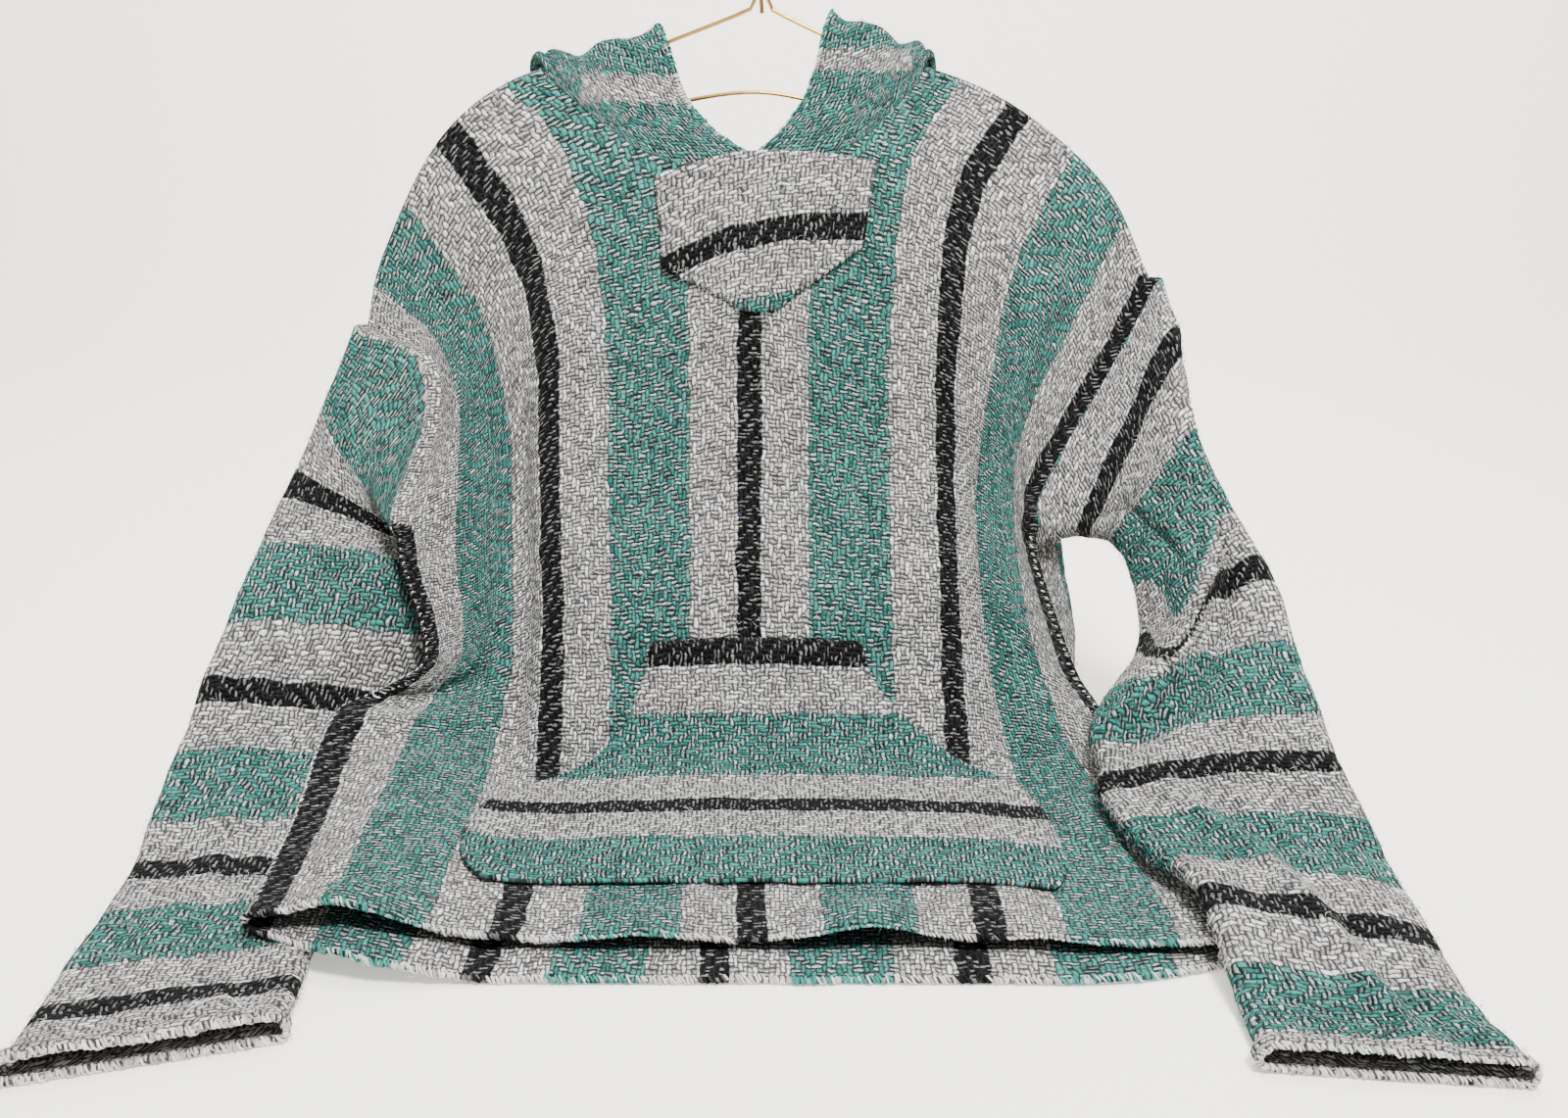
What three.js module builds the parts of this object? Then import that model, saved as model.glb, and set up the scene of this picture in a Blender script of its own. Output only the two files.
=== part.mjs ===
// Baja hoodie on a wire hanger, as a standalone three.js model.
// Millimetres, +Z up, +X to the garment's right as seen from the front, -Y towards the viewer.
// Points are first given in the garment's own frame: z = 0 is the table that the hem and the
// sleeves rest on and y = 0 is the plane of the hanger. The whole group is then moved so that
// the origin is the inside top of the hook.
import * as THREE from 'three';

// ---------------------------------------------------------------- driving dimensions
const HOOK_HEIGHT = 600;       // inside top of the hook above the table
const HANGER_X = 5;            // the hanger hangs this far off the garment's centre line
const CLOTH = 3;               // thickness of the woven cloth
const SEAM_INSET = 0.25;       // each edge stops this far short of its seam
const SLEEVE_INSET = 0.8;      // and a sleeve starts this far outside its armhole
const HALF_WIDTH = 307.5;      // half the width of a body panel
const ARMHOLE = 230;           // depth of the armhole, down from the shoulder
const FOLD_RADIUS = 6;         // bend of the cloth at the shoulders and side seams
const ROLL = 0.5 * Math.PI * FOLD_RADIUS;   // cloth taken by a quarter bend
const UNDERARM = ARMHOLE + 15; // down to where the side seam is fully closed
const HEM = 747;               // length of the front panel
const ARMHOLE_OPEN = 8;        // how far each panel bows out along the armhole
const STRIPE_LINE = 150;       // the middle of the outer dark stripes, out from the centre
const SIDE_LINE = 225;         // a guide line half way from there to the edge
const NECK_HALF_WIDTH = 85;
const NECK_DEPTH = 95;
const BACK_BULGE = 48;         // the back swings this far out beyond the right side seam
const BULGE_FORWARD = 0.35;    // and comes forward by this share of it
const BACK_NECK_DEPTH = 1.12;  // the back neckline sags this much deeper than the front one
const PATCH_LIFT = 4.2;        // middle of the patch above the middle of the front panel
const POCKET_LIFT = 4.2;
const POCKET_PUFF = 5;         // extra lift in the middle of the pouch
const WIRE = 3;                // diameter of the hanger wire

// Rows and columns of the cloth grids, in millimetres of cloth.
const BEND_ROWS = [0, ROLL / 2, ROLL];
const ARMHOLE_ROWS = [50, 95, 140, 185, ARMHOLE, 0.5 * (ARMHOLE + UNDERARM), UNDERARM];
const LEVEL_ROW = 345;         // the rows above here slant up to the neckline
const POCKET_ROWS = [440, 475, 505, 530, 560, 600, 650, 690];
const LOWER_ROWS = [290, 345, 400, ...POCKET_ROWS, 718, HEM];
const BODY_ROWS = [...BEND_ROWS, ...ARMHOLE_ROWS, ...LOWER_ROWS];
const EDGE = HALF_WIDTH - ROLL;
const NECK_COLUMNS = [44, 66, 77, 82, 84.5, NECK_HALF_WIDTH];
const SIDE_COLUMNS = [118, 150, 176, 200, 228, 262, EDGE, EDGE + ROLL / 2, HALF_WIDTH];
const RIGHT_COLUMNS = [...NECK_COLUMNS, ...SIDE_COLUMNS];
const BODY_COLUMNS = [...RIGHT_COLUMNS.map((u) => -u).reverse(), 0, ...RIGHT_COLUMNS];

// ---------------------------------------------------------------- tables of the garment
// Each table follows one lengthwise line of the front panel: `down` is the cloth from the
// shoulder, x, y, z the place of the line.
const CENTRE = [
  { down: 0, x: 2, y: 0, z: 503 },
  { down: 95, x: 0, y: -35, z: 415 },
  { down: 195, x: -5, y: -70, z: 321 },
  { down: 300, x: -5, y: -99, z: 220 },
  { down: 408, x: -5, y: -154, z: 127 },
  { down: 470, x: -5, y: -187, z: 66 },
  { down: 545, x: -5, y: -236, z: 17 },
  { down: 650, x: -2, y: -333, z: 12 },
  { down: 747, x: 2, y: -433, z: 11 },
];
const LEFT_STRIPE = [
  { down: 0, x: -229, y: 0, z: 433 },
  { down: 95, x: -172, y: -50, z: 358 },
  { down: 195, x: -151, y: -78, z: 285 },
  { down: 300, x: -148, y: -108, z: 198 },
  { down: 408, x: -143, y: -158, z: 115 },
  { down: 470, x: -142, y: -190, z: 64 },
  { down: 545, x: -141, y: -238, z: 18 },
  { down: 650, x: -140, y: -333, z: 12 },
  { down: 747, x: -139, y: -433, z: 11 },
];
const RIGHT_STRIPE = [
  { down: 0, x: 192, y: 0, z: 450 },
  { down: 80, x: 150, y: -44, z: 388 },
  { down: 195, x: 137, y: -78, z: 290 },
  { down: 300, x: 136, y: -106, z: 200 },
  { down: 408, x: 137, y: -158, z: 117 },
  { down: 470, x: 138, y: -190, z: 65 },
  { down: 545, x: 139, y: -238, z: 18 },
  { down: 650, x: 138, y: -333, z: 12 },
  { down: 747, x: 138, y: -433, z: 11 },
];
const LEFT_SIDE = [
  { down: 0, x: -277, y: -12, z: 347 },
  { down: 95, x: -217, y: -55, z: 283 },
  { down: 195, x: -198, y: -92, z: 212 },
  { down: 300, x: -194, y: -125, z: 143 },
  { down: 408, x: -192, y: -165, z: 84 },
  { down: 470, x: -203, y: -195, z: 48 },
  { down: 545, x: -208, y: -245, z: 31 },
  { down: 650, x: -210, y: -345, z: 28 },
  { down: 747, x: -212, y: -438, z: 27 },
];
const RIGHT_SIDE = [
  { down: 0, x: 257, y: -9, z: 396 },
  { down: 95, x: 211, y: -50, z: 318 },
  { down: 195, x: 186, y: -75, z: 248 },
  { down: 300, x: 174, y: -108, z: 180 },
  { down: 408, x: 176, y: -160, z: 108 },
  { down: 470, x: 187, y: -195, z: 55 },
  { down: 545, x: 203, y: -240, z: 18 },
  { down: 650, x: 208, y: -345, z: 11 },
  { down: 747, x: 212, y: -438, z: 10 },
];
// The two edges: the line midway between front and back, armhole first and then side seam.
const LEFT_EDGE = [
  { down: 0, x: -292, y: -28, z: 292 },
  { down: 60, x: -236, y: -60, z: 272 },
  { down: 115, x: -226, y: -83, z: 232 },
  { down: 175, x: -238, y: -110, z: 192 },
  { down: 230, x: -246, y: -135, z: 165 },
  { down: 300, x: -242, y: -148, z: 136 },
  { down: 350, x: -228, y: -165, z: 101 },
  { down: 400, x: -226, y: -185, z: 78 },
  { down: 440, x: -250, y: -200, z: 66 },
  { down: 480, x: -278, y: -222, z: 56 },
  { down: 600, x: -279, y: -330, z: 29 },
  { down: 747, x: -275, y: -440, z: 25 },
];
const RIGHT_EDGE = [
  { down: 0, x: 287, y: -40, z: 334 },
  { down: 75, x: 250, y: -60, z: 266 },
  { down: 125, x: 223, y: -77, z: 222 },
  { down: 180, x: 196, y: -103, z: 178 },
  { down: 230, x: 193, y: -122, z: 160 },
  { down: 300, x: 201, y: -141, z: 124 },
  { down: 345, x: 209, y: -155, z: 101 },
  { down: 400, x: 220, y: -175, z: 71 },
  { down: 450, x: 234, y: -192, z: 50 },
  { down: 540, x: 258, y: -262, z: 14 },
  { down: 640, x: 280, y: -345, z: 7.5 },
  { down: 747, x: 292, y: -438, z: 7.5 },
];
// The opened neck pushes its two sides outwards and up.
const LEFT_SPREAD = [
  { down: 0, x: -31, z: 12 },
  { down: 50, x: -10, z: 20 },
  { down: 95, x: -4, z: 12 },
  { down: 195, x: 0, z: 0 },
];
const RIGHT_SPREAD = [
  { down: 0, x: 16, z: 3 },
  { down: 50, x: 9, z: 12 },
  { down: 95, x: 4, z: 10 },
  { down: 195, x: 0, z: 0 },
];
// The back panel hangs this far behind and below the front, and reaches past its hem.
const BACK_SHIFT = [
  { down: 0, y: 0, z: 0 },
  { down: 50, y: 36, z: -6 },
  { down: 100, y: 46, z: -8 },
  { down: 200, y: 56, z: -10 },
  { down: 300, y: 58, z: -10 },
  { down: 408, y: 60, z: -13 },
  { down: 470, y: 50, z: -22 },
  { down: 545, y: 31, z: -15 },
  { down: 600, y: 16, z: -15 },
  { down: 650, y: 2, z: -15 },
  { down: 747, y: -28, z: -15 },
];

// Largest folds of the front: a ridge (height > 0) or trough along a line in the cloth.
const FRONT_FOLDS = [
  { across: -176, down: 190, toAcross: -180, toDown: 560, width: 13, height: -9 },
  { across: 196, down: 230, toAcross: 200, toDown: 520, width: 14, height: -8 },
  { across: -245, down: 60, toAcross: -262, toDown: 250, width: 20, height: 9 },
  { across: 78, down: 712, toAcross: 74, toDown: 770, width: 34, height: 9 },
  { across: -232, down: 705, toAcross: -236, toDown: 770, width: 26, height: 4 },
];

// Sleeve sections: `along` is the cloth from the armhole; outer and inner are the two folded
// edges of the flattened tube, half its half thickness, bow the extra bow of its front.
const LEFT_SLEEVE = [
  { along: 60, outer: [-318, -55, 236], inner: [-266, -112, 172], half: 10, bow: 5 },
  { along: 120, outer: [-345, -98, 172], inner: [-254, -112, 146], half: 9, bow: 7 },
  { along: 190, outer: [-363, -155, 124], inner: [-228, -124, 104], half: 8, bow: 9 },
  { along: 250, outer: [-371, -218, 80], inner: [-240, -154, 36], half: 7, bow: 6 },
  { along: 325, outer: [-379, -285, 36], inner: [-243, -235, 9], half: 6, bow: 3 },
  { along: 405, outer: [-377, -360, 9], inner: [-246, -347, 7.5], half: 6, bow: 0 },
  { along: 480, outer: [-375, -437, 7.5], inner: [-247, -414, 7.5], half: 6, bow: 0 },
  { along: 555, outer: [-370, -515, 7.5], inner: [-243, -480, 7.5], half: 6, bow: 0 },
  { along: 610, outer: [-371, -556, 7.5], inner: [-239, -517, 7.5], half: 6, bow: 0 },
];
const RIGHT_SLEEVE = [
  { along: 45, outer: [302, -86, 292], inner: [234, -128, 158], half: 11, bow: 6 },
  { along: 120, outer: [325, -130, 208], inner: [262, -138, 148], half: 11, bow: 12 },
  { along: 195, outer: [352, -180, 150], inner: [272, -170, 90], half: 11, bow: 12 },
  { along: 260, outer: [363, -245, 98], inner: [243, -216, 58], half: 9, bow: 8 },
  { along: 345, outer: [371, -308, 60], inner: [226, -286, 34], half: 7, bow: 6 },
  { along: 415, outer: [385, -360, 24], inner: [240, -350, 27], half: 6, bow: 6 },
  { along: 495, outer: [384, -447, 12], inner: [260, -424, 32], half: 6, bow: 2 },
  { along: 560, outer: [387, -516, 7.5], inner: [263, -494, 10], half: 6, bow: 0 },
  { along: 625, outer: [394, -557, 7.5], inner: [264, -543, 7.5], half: 6, bow: 0 },
];

// Half of the hood, which falls over the hanger and hangs behind the back. Each table is one
// line from the neck seam (reach 0, taken from the neckline) to the top seam (reach 1).
// `round` says where the line starts on the neck seam: 0 at the front point, 1 at the nape.
const HOOD_LINES = [
  { round: 0, rows: [
    { reach: 0.08, x: -29, y: -34, z: 434 },
    { reach: 0.17, x: -50, y: -25, z: 457 },
    { reach: 0.32, x: -64, y: -10, z: 496 },
    { reach: 0.4, x: -70, y: 6, z: 505 },
    { reach: 0.55, x: -70, y: 36, z: 470 },
    { reach: 0.75, x: -54, y: 55, z: 420 },
    { reach: 1, x: 0, y: 58, z: 388 },
  ] },
  { round: 0.26, rows: [
    { reach: 0.085, x: -95, y: -32, z: 446 },
    { reach: 0.17, x: -104, y: -17, z: 473 },
    { reach: 0.27, x: -110, y: 0, z: 494 },
    { reach: 0.4, x: -116, y: 30, z: 470 },
    { reach: 0.62, x: -108, y: 54, z: 390 },
    { reach: 1, x: 0, y: 58, z: 334 },
  ] },
  { round: 0.415, rows: [
    { reach: 0.055, x: -131, y: -20, z: 465 },
    { reach: 0.1, x: -137, y: -10, z: 479 },
    { reach: 0.15, x: -141, y: 2, z: 487 },
    { reach: 0.2, x: -145, y: 16, z: 483 },
    { reach: 0.32, x: -146, y: 41, z: 448 },
    { reach: 0.62, x: -128, y: 55, z: 352 },
    { reach: 1, x: 0, y: 58, z: 300 },
  ] },
  { round: 0.465, rows: [
    { reach: 0.025, x: -139, y: -17, z: 466 },
    { reach: 0.055, x: -146, y: -7, z: 475 },
    { reach: 0.1, x: -152, y: 5, z: 484 },
    { reach: 0.15, x: -155, y: 16, z: 484 },
    { reach: 0.2, x: -157, y: 26, z: 477 },
    { reach: 0.32, x: -154, y: 42, z: 442 },
    { reach: 0.62, x: -136, y: 52, z: 330 },
    { reach: 1, x: 0, y: 58, z: 284 },
  ] },
  { round: 0.5, rows: [
    { reach: 0.025, x: -156, y: 4, z: 486 },
    { reach: 0.055, x: -163, y: 14, z: 485 },
    { reach: 0.085, x: -167, y: 23, z: 474 },
    { reach: 0.26, x: -162, y: 34, z: 417 },
    { reach: 0.5, x: -143, y: 44, z: 340 },
    { reach: 0.75, x: -90, y: 55, z: 280 },
    { reach: 1, x: 0, y: 58, z: 270 },
  ] },
  { round: 0.535, rows: [
    { reach: 0.025, x: -132, y: 23, z: 462 },
    { reach: 0.055, x: -135, y: 28, z: 461 },
    { reach: 0.085, x: -138, y: 31, z: 453 },
    { reach: 0.26, x: -147, y: 28, z: 402 },
    { reach: 0.5, x: -136, y: 36, z: 325 },
    { reach: 0.75, x: -90, y: 51, z: 268 },
    { reach: 1, x: 0, y: 58, z: 258 },
  ] },
  { round: 0.585, rows: [
    { reach: 0.025, x: -113, y: 17, z: 440 },
    { reach: 0.055, x: -114, y: 23, z: 439 },
    { reach: 0.085, x: -117, y: 26, z: 431 },
    { reach: 0.3, x: -130, y: 27, z: 372 },
    { reach: 0.55, x: -126, y: 33, z: 305 },
    { reach: 0.8, x: -78, y: 50, z: 250 },
    { reach: 1, x: 0, y: 58, z: 242 },
  ] },
  { round: 0.75, rows: [
    { reach: 0.025, x: -72, y: 15, z: 410 },
    { reach: 0.055, x: -74, y: 21, z: 411 },
    { reach: 0.085, x: -76, y: 25, z: 403 },
    { reach: 0.35, x: -97, y: 26, z: 330 },
    { reach: 0.6, x: -106, y: 29, z: 255 },
    { reach: 0.8, x: -72, y: 45, z: 214 },
    { reach: 1, x: 0, y: 57, z: 206 },
  ] },
  { round: 1, rows: [
    { reach: 0.025, x: 0, y: 17, z: 407 },
    { reach: 0.055, x: 0, y: 25, z: 410 },
    { reach: 0.085, x: 0, y: 31, z: 402 },
    { reach: 0.35, x: 0, y: 33, z: 325 },
    { reach: 0.6, x: 0, y: 33, z: 250 },
    { reach: 0.85, x: 0, y: 34, z: 182 },
    { reach: 1, x: 0, y: 48, z: 166 },
  ] },
];
const SHOULDER_REACH = 0.045;   // this share of the neck seam lies over the shoulder fold
const RIGHT_HOOD_SCALE = 0.8;   // the right half is pushed less far out
const RIGHT_HOOD_LIFT = 12;     // and stands higher where it passes over the hanger

// Pocket outline: its left and right edges at each level of the front panel.
const POCKET = [
  { down: 440, left: -72, right: 83 },
  { down: 470, left: -80, right: 94 },
  { down: 500, left: -92, right: 120 },
  { down: 525, left: -112, right: 146 },
  { down: 545, left: -138, right: 175 },
  { down: 562, left: -165, right: 195 },
  { down: 590, left: -186, right: 206 },
  { down: 630, left: -192, right: 210 },
  { down: 668, left: -188, right: 208 },
  { down: 690, left: -172, right: 198 },
];
// Patch outline: its top and bottom edges at each place across the front panel.
const PATCH = [
  { across: -60, top: 98, bottom: 163 },
  { across: -40, top: 96, bottom: 178 },
  { across: -20, top: 93, bottom: 193 },
  { across: -3, top: 92, bottom: 205 },
  { across: 20, top: 92, bottom: 205 },
  { across: 34, top: 91, bottom: 191 },
  { across: 60, top: 89, bottom: 166 },
  { across: 83, top: 87, bottom: 144 },
];

// Hanger wire, in its own plane: x from the hanger's middle, z above the table.
const HANGER_SHOULDER = [
  { x: 3.6, z: 526 },
  { x: 6, z: 518.5 },
  { x: 14, z: 514 },
  { x: 63, z: 493.5 },
  { x: 110, z: 474 },
  { x: 160, z: 457.5 },
  { x: 187, z: 447 },
  { x: 199, z: 439 },
  { x: 200, z: 427 },
  { x: 190, z: 418 },
  { x: 172, z: 417.5 },
  { x: 110, z: 434 },
  { x: 45, z: 453 },
];
const BAR_CROWN = 459;
const HANGER_TILT = 2;        // degrees; the garment's left end of the hanger is the higher one
const HOOK_RADIUS = 20;
const NECK_HEIGHT = 514;        // where the straight stem of the hook starts

// ---------------------------------------------------------------- helpers
function cubic(rows, key) {
  // Smooth curve through the rows of a table: a function of `key` that gives every other column.
  const names = Object.keys(rows[0]).filter((name) => name !== key);
  const last = rows.length - 1;
  const slope = (i, name) => {
    const before = rows[Math.max(i - 1, 0)];
    const after = rows[Math.min(i + 1, last)];
    return (after[name] - before[name]) / (after[key] - before[key]);
  };
  return (value) => {
    const at = Math.min(Math.max(value, rows[0][key]), rows[last][key]);
    let i = 0;
    while (i < last - 1 && at > rows[i + 1][key]) {
      i += 1;
    }
    const span = rows[i + 1][key] - rows[i][key];
    const t = (at - rows[i][key]) / span;
    const result = {};
    for (const name of names) {
      const a = rows[i][name];
      const b = rows[i + 1][name];
      const da = slope(i, name) * span;
      const db = slope(i + 1, name) * span;
      result[name] = a + t * (da + t * (3 * (b - a) - 2 * da - db + t * (2 * (a - b) + da + db)));
    }
    return result;
  };
}

const vector = ({ x, y, z }) => new THREE.Vector3(x, y, z);
const fromArray = (values) => new THREE.Vector3(...values);

function normalAt(surface, u, v) {
  // Outward normal of a surface that runs to +X with u and down with v, seen from the front.
  const step = 1.5;
  const across = surface(u + step, v).sub(surface(u - step, v));
  const down = surface(u, v + step).sub(surface(u, v - step));
  return down.cross(across).normalize();
}

function gridNormals(grid, closed) {
  const rows = grid.length;
  const columns = grid[0].length;
  return grid.map((row, i) => row.map((point, j) => {
    const up = grid[Math.max(i - 1, 0)][j];
    const down = grid[Math.min(i + 1, rows - 1)][j];
    const left = closed ? row[(j + columns - 1) % columns] : row[Math.max(j - 1, 0)];
    const right = closed ? row[(j + 1) % columns] : row[Math.min(j + 1, columns - 1)];
    return down.clone().sub(up).cross(right.clone().sub(left)).normalize();
  }));
}

function clothShell(grid, normals, cloth, closed = false) {
  // A closed wall of cloth about a grid of points: grid[row][column], outside where the
  // normals point. `cloth` gives each point's place in the flat piece, kept as uv.
  const rows = grid.length;
  const columns = grid[0].length;
  const positions = [];
  const uvs = [];
  for (const side of [0.5, -0.5]) {
    grid.forEach((row, i) => row.forEach((point, j) => {
      const moved = point.clone().addScaledVector(normals[i][j], side * CLOTH);
      positions.push(moved.x, moved.y, moved.z);
      uvs.push(...cloth[i][j]);
    }));
  }
  const outer = (i, j) => i * columns + (j % columns);
  const inner = (i, j) => rows * columns + outer(i, j);
  const faces = [];
  const quad = (a, b, c, d) => faces.push(a, b, c, a, c, d);
  const level = (k) => positions[3 * k + 2] + 0.1 * positions[3 * k + 1];
  const rim = (a, b, c, d) => {
    // Between two outer corners a, b and two inner ones; the diagonal starts at the higher
    // outer corner, so that the two pieces of a seam are cut alike.
    if (level(a) > level(b)) {
      faces.push(a, b, c, a, c, d);
    } else {
      faces.push(a, b, d, b, c, d);
    }
  };
  const spans = closed ? columns : columns - 1;
  for (let i = 0; i < rows - 1; i += 1) {
    for (let j = 0; j < spans; j += 1) {
      quad(outer(i, j), outer(i + 1, j), outer(i + 1, j + 1), outer(i, j + 1));
      quad(inner(i, j), inner(i, j + 1), inner(i + 1, j + 1), inner(i + 1, j));
    }
  }
  for (let j = 0; j < spans; j += 1) {
    rim(outer(0, j), outer(0, j + 1), inner(0, j + 1), inner(0, j));
    rim(outer(rows - 1, j + 1), outer(rows - 1, j), inner(rows - 1, j), inner(rows - 1, j + 1));
  }
  if (!closed) {
    for (let i = 0; i < rows - 1; i += 1) {
      rim(outer(i + 1, 0), outer(i, 0), inner(i, 0), inner(i + 1, 0));
      rim(outer(i, spans), outer(i + 1, spans), inner(i + 1, spans), inner(i, spans));
    }
  }
  const geometry = new THREE.BufferGeometry();
  geometry.setAttribute('position', new THREE.Float32BufferAttribute(positions, 3));
  geometry.setAttribute('uv', new THREE.Float32BufferAttribute(uvs, 2));
  geometry.setIndex(faces);
  geometry.computeVertexNormals();
  return geometry;
}

function inset(grid, { top = 0, bottom = 0, left = 0, right = 0 }) {
  // Pulls the edges of a grid in along its own lines, which opens the gap of a seam.
  const rows = grid.length;
  const columns = grid[0].length;
  const pull = (point, towards, distance) => {
    const direction = towards.clone().sub(point).normalize();
    point.addScaledVector(direction, distance);
  };
  for (let j = 0; j < columns; j += 1) {
    pull(grid[0][j], grid[1][j], top);
    pull(grid[rows - 1][j], grid[rows - 2][j], bottom);
  }
  for (let i = 0; i < rows; i += 1) {
    pull(grid[i][0], grid[i][1], left);
    pull(grid[i][columns - 1], grid[i][columns - 2], right);
  }
}

// ---------------------------------------------------------------- body panels
const centreLine = cubic(CENTRE, 'down');
const backShift = cubic(BACK_SHIFT, 'down');
const sides = [
  { sign: -1, stripe: LEFT_STRIPE, side: LEFT_SIDE, edge: LEFT_EDGE, spread: LEFT_SPREAD },
  { sign: 1, stripe: RIGHT_STRIPE, side: RIGHT_SIDE, edge: RIGHT_EDGE, spread: RIGHT_SPREAD },
].map(({ sign, stripe, side, edge, spread }) => ({
  sign,
  stripe: cubic(stripe, 'down'),
  side: cubic(side, 'down'),
  edge: cubic(edge, 'down'),
  spread: cubic(spread, 'down'),
}));

function edgeFrame(side, down) {
  // At an edge: its middle point, the direction out of the garment and the one to its front.
  const middle = vector(side.edge(down));
  const outward = new THREE.Vector3(side.sign, 0, 0);
  const step = 4;
  const along = vector(side.edge(down + step)).sub(vector(side.edge(down - step)));
  along.x *= 0.3;
  const front = along.clone().cross(outward).multiplyScalar(side.sign).normalize();
  front.lerp(new THREE.Vector3(0, -1, 0), 1 - THREE.MathUtils.smoothstep(down, 12, 90)).normalize();
  return { middle, outward, front };
}

function neckGuide(side, down, stripePoint) {
  const share = NECK_HALF_WIDTH / STRIPE_LINE;
  const point = vector(centreLine(down)).lerp(stripePoint, share);
  const push = side.spread(down);
  return point.add(new THREE.Vector3(push.x, 0, push.z));
}

function edgeBow(down) {
  const share = THREE.MathUtils.clamp((down - ROLL) / (UNDERARM - ROLL), 0, 1);
  return ARMHOLE_OPEN * Math.sin(Math.PI * share);
}

function panelGuides(down, isFront) {
  // The lengthwise lines of a panel at one level, from left to right.
  const shift = isFront ? { y: 0, z: 0 } : backShift(down);
  const facing = isFront ? 1 : -1;
  const hanging = 1 - THREE.MathUtils.smoothstep(down, 300, 500);
  const moved = (point, share) => {
    point.y += shift.y * share - facing * FOLD_RADIUS * hanging;
    point.z = Math.max(point.z + shift.z * share, isFront ? 0 : 0.5 * CLOTH);
    return point;
  };
  const rows = [];
  for (const side of sides) {
    const stripePoint = vector(side.stripe(down));
    const neck = moved(neckGuide(side, down, stripePoint), 1);
    const stripe = moved(stripePoint, 1);
    const outer = moved(vector(side.side(down)), 0.8);
    if (!isFront && side.sign > 0) {
      const swing = THREE.MathUtils.smoothstep(down, 230, 330)
        * (1 - THREE.MathUtils.smoothstep(down, 400, 500));
      outer.x += BACK_BULGE * swing;
      outer.y -= BULGE_FORWARD * BACK_BULGE * swing;
    }
    const frame = edgeFrame(side, down);
    const reach = (FOLD_RADIUS + edgeBow(down)) * facing;
    const edge = frame.middle.addScaledVector(frame.front, reach);
    const points = [
      { across: NECK_HALF_WIDTH, point: neck },
      { across: STRIPE_LINE, point: stripe },
      { across: SIDE_LINE, point: outer },
      { across: EDGE, point: edge },
    ];
    rows.push(...points.map((row) => ({
      across: row.across * side.sign, x: row.point.x, y: row.point.y, z: row.point.z,
    })));
  }
  const centre = moved(vector(centreLine(down)), 1);
  rows.push({ across: 0, x: centre.x, y: centre.y, z: centre.z });
  return rows.sort((a, b) => a.across - b.across);
}

function shoulderUp(across) {
  // The way the shoulder fold faces: square to its run from side to side, and always upwards.
  const row = cubic(panelGuides(ROLL, true), 'across');
  const inside = THREE.MathUtils.clamp(across, -EDGE, EDGE);
  const step = 8;
  const ahead = vector(row(Math.min(inside + step, EDGE)));
  const behind = vector(row(Math.max(inside - step, -EDGE)));
  const up = new THREE.Vector3(0, 1, 0).cross(behind.sub(ahead)).setY(0).normalize();
  up.z = Math.max(up.z, 0.5);
  return up.normalize();
}

function panelPoint(across, down, isFront) {
  // A point of the panel before its large folds, with the bends at shoulder and side seam.
  const facing = isFront ? 1 : -1;
  const level = Math.max(down, ROLL);
  const guides = panelGuides(level, isFront);
  const row = cubic(guides, 'across');
  const inside = THREE.MathUtils.clamp(across, -EDGE, EDGE);
  const point = vector(row(inside));
  const past = Math.abs(across) - EDGE;
  if (past > 0) {
    const { front, outward } = edgeFrame(sides[across < 0 ? 0 : 1], level);
    const closed = THREE.MathUtils.clamp((level - ARMHOLE) / (UNDERARM - ARMHOLE), 0, 1);
    const turned = Math.min(past / FOLD_RADIUS, closed * 0.5 * Math.PI);
    const straight = past - turned * FOLD_RADIUS;
    point.addScaledVector(outward, FOLD_RADIUS * Math.sin(turned) + straight * Math.cos(turned));
    point.addScaledVector(front,
      -facing * (FOLD_RADIUS * (1 - Math.cos(turned)) + straight * Math.sin(turned)));
  }
  if (down < ROLL) {
    const angle = Math.max(down, -ROLL) / FOLD_RADIUS;
    point.addScaledVector(shoulderUp(across), FOLD_RADIUS * Math.cos(angle));
    point.y += facing * FOLD_RADIUS * (1 - Math.sin(angle));
  }
  point.z = Math.max(point.z, 0.5 * CLOTH);
  return point;
}

function foldHeight(folds, across, down) {
  let height = 0;
  for (const fold of folds) {
    const lengthA = fold.toAcross - fold.across;
    const lengthD = fold.toDown - fold.down;
    const length = Math.hypot(lengthA, lengthD);
    const a = across - fold.across;
    const d = down - fold.down;
    const along = (a * lengthA + d * lengthD) / (length * length);
    const away = (a * lengthD - d * lengthA) / length;
    const ends = THREE.MathUtils.smoothstep(along, -0.15, 0.3)
      * (1 - THREE.MathUtils.smoothstep(along, 0.75, 1.2));
    height += fold.height * ends * Math.exp(-((away / fold.width) ** 2));
  }
  return height;
}

const frontBase = (across, down) => panelPoint(across, down, true);
const backBase = (across, down) => panelPoint(across, down, false);

function frontPoint(across, down) {
  const height = foldHeight(FRONT_FOLDS, across, down);
  return frontBase(across, down).addScaledVector(normalAt(frontBase, across, down), height);
}

function neckline(across) {
  const share = Math.min(Math.abs(across) / NECK_HALF_WIDTH, 1);
  return NECK_DEPTH * Math.cbrt(1 - share ** 3);
}

const backNeckline = (across) => neckline(across) * BACK_NECK_DEPTH;

function bodyGrid(surface, top) {
  const cloth = BODY_ROWS.map((down) => BODY_COLUMNS.map((across) => {
    const slant = Math.max(1 - down / LEVEL_ROW, 0);
    return [across, down + top(across) * slant];
  }));
  const grid = cloth.map((row) => row.map(([across, down]) => surface(across, down)));
  return { grid, cloth };
}

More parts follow.
